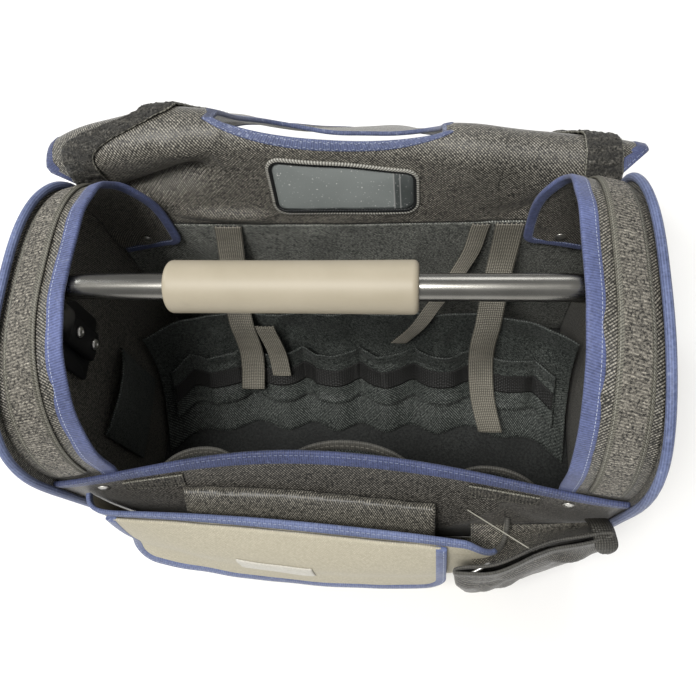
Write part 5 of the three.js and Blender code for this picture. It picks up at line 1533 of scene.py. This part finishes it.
# %% Hanging straps
hang_at = np.array([0, 12, 32, 50, 60, 70, 80, 90, 100, 112, 124.0])
hang_y = np.array([118.2, 115, 105, 84, 67, 58, 50, 38, 22, 4, -14.0])
hang_z = np.array([240.5, 217, 180, 151, 131, 112, 92, 74, 60, 46, 36.0])
straps = (
    ("left_strap", 25, 0, 100, (-107, -114, -117, -112, -115)),
    ("left_strap_loop", 20, 60, 92, (-92, -85, -82)),
    ("right_narrow_strap", 16, 0, 70, (119, 110, 86, 44)),
    ("right_wide_strap", 25, 0, 124, (144, 141, 135, 128, 130, 140)),
)
for name, width, start, end, across in straps:
    across = np.array(across, float)
    stops = np.linspace(start, end, len(across))

    def surface(w, a):
        mid = along(stops, across, a)
        rim = back_y(mid, WALL_HEIGHT) - RIM_DEPTH / 2
        camber = 0.5 * np.cos(math.pi * w / width)
        y, z = along(hang_at, hang_y, a), along(hang_at, hang_z, a)
        return np.stack([mid + w, rim + y - camber, z], -1)

    w, a = mesh_of(-width / 2, width / 2, 14, start, end, 110)
    path = surface(np.zeros(110), np.linspace(start, end, 110))
    run = run_lengths(path)
    flat = np.stack([np.broadcast_to(run[None], w.shape), w], -1)
    strap = cloth_sheet(name, surface, w, a, webbing, "dark_webbing", 1.6, 0.0, flat)
    print(name, "is", round(run[-1]), "mm long")

tab = rounded_box((-(HALF + 0.3 + 1.6), -4, 340), 16, 25, 3.2, 1.4)
ringed("left_side_tab", tab, webbing, "dark_webbing")

# %% [markdown]
# ## The cloth's cut sizes
# Each sheet's cut size is measured here on its own flat coordinates and printed with its area; a table lists
# how each sheet is held.

# %% Flat sizes of the sheets
def cut_size(piece):
    """Width, length and area of a sheet's cut, from its flat coordinates."""
    mesh = piece.data
    uv = np.empty(len(mesh.loops) * 2, np.float32)
    mesh.uv_layers["flat"].data.foreach_get("uv", uv)
    uv = uv.reshape(-1, 2)
    spread = uv.max(0) - uv.min(0)
    area = np.zeros(len(mesh.polygons), np.float32)
    mesh.polygons.foreach_get("area", area)
    return spread, float(area.sum())


sheets = {
    "front_wall": "stretched", "back_wall": "stretched", "left_side": "stretched",
    "right_side": "stretched", "left_strip": "stretched", "right_strip": "stretched",
    "left_hook_strip": "stretched", "right_hook_strip": "stretched",
    "lid": "draped", "lid_left_loop_strip": "draped", "lid_right_loop_strip": "draped",
    "front_pocket": "gathered", "pocket_flap": "draped", "label_patch": "laid", "pocket_panel": "gathered",
    "pocket_row": "gathered", "elastic_band": "gathered", "left_inner_pocket": "gathered",
    "middle_inner_pocket": "gathered", "right_inner_pocket": "gathered", "left_side_pocket": "gathered",
    "left_front_loop_patch": "laid", "right_front_loop_patch": "laid",
    "pouch_gusset": "hung", "pouch_tab": "draped",
}
for name, held in sheets.items():
    spread, area = cut_size(made[name])
    flat, box = tuple(float(side) for side in spread), spread[0] * spread[1]
    area = float(min(max(area, 0.31 * box), box))
    print(name, "cut", np.round(spread * 1000).tolist(), "mm, area", round(area * 1e4), "cm2")

# %% [markdown]
# ## Floor and light
# A plain pale floor and three soft lights: a wide one above and a little in front, a cooler one
# from the left and a weak one from behind. The pale world fills the shadows.

# %% Stage
floor_finish = Finish("pale floor", Roughness=0.9, Base_Color=(0.93, 0.93, 0.925, 1))
size = 6.0
floor_points = [(x * size, y * size, -0.5 * MM) for x, y in ((-1, -1), (1, -1), (1, 1), (-1, 1))]
floor_mesh = bpy.data.meshes.new("floor")
floor_mesh.from_pydata(floor_points, [], [(0, 1, 2, 3)])
floor = add("floor", floor_mesh)
floor_mesh.materials.append(floor_finish.material)


def soft_light(name, place, aim, width, power, tint):
    """A round lamp at a place, turned to face what it is aimed at."""
    lamp = bpy.data.lights.new(name, "AREA")
    lamp.shape, lamp.size, lamp.energy, lamp.color = "DISK", width, power, tint
    back = unit(np.array(place, float) - np.array(aim, float))
    side = unit(np.cross([0.0, 0.01, 1.0], back))
    add(name, lamp).matrix_world = pose(side, np.cross(back, side), back, place)


soft_light("top light", (-0.4, -0.75, 2.7), (0, 0.05, 0.2), 1.0, 66, (1.0, 0.985, 0.96))
soft_light("left light", (-1.6, 0.5, 1.6), (0, 0, 0.2), 0.8, 12, (0.96, 0.98, 1.0))
soft_light("back light", (0.3, 1.6, 1.6), (0, 0.1, 0.25), 0.8, 6, (1, 1, 1))
world = bpy.data.worlds.new("studio")
bpy.context.scene.world = world
world.use_nodes = True
background = world.node_tree.nodes["Background"].inputs
background["Color"].default_value, background["Strength"].default_value = (1, 1, 1, 1), 0.38
bpy.context.scene.view_settings.view_transform = "Standard"
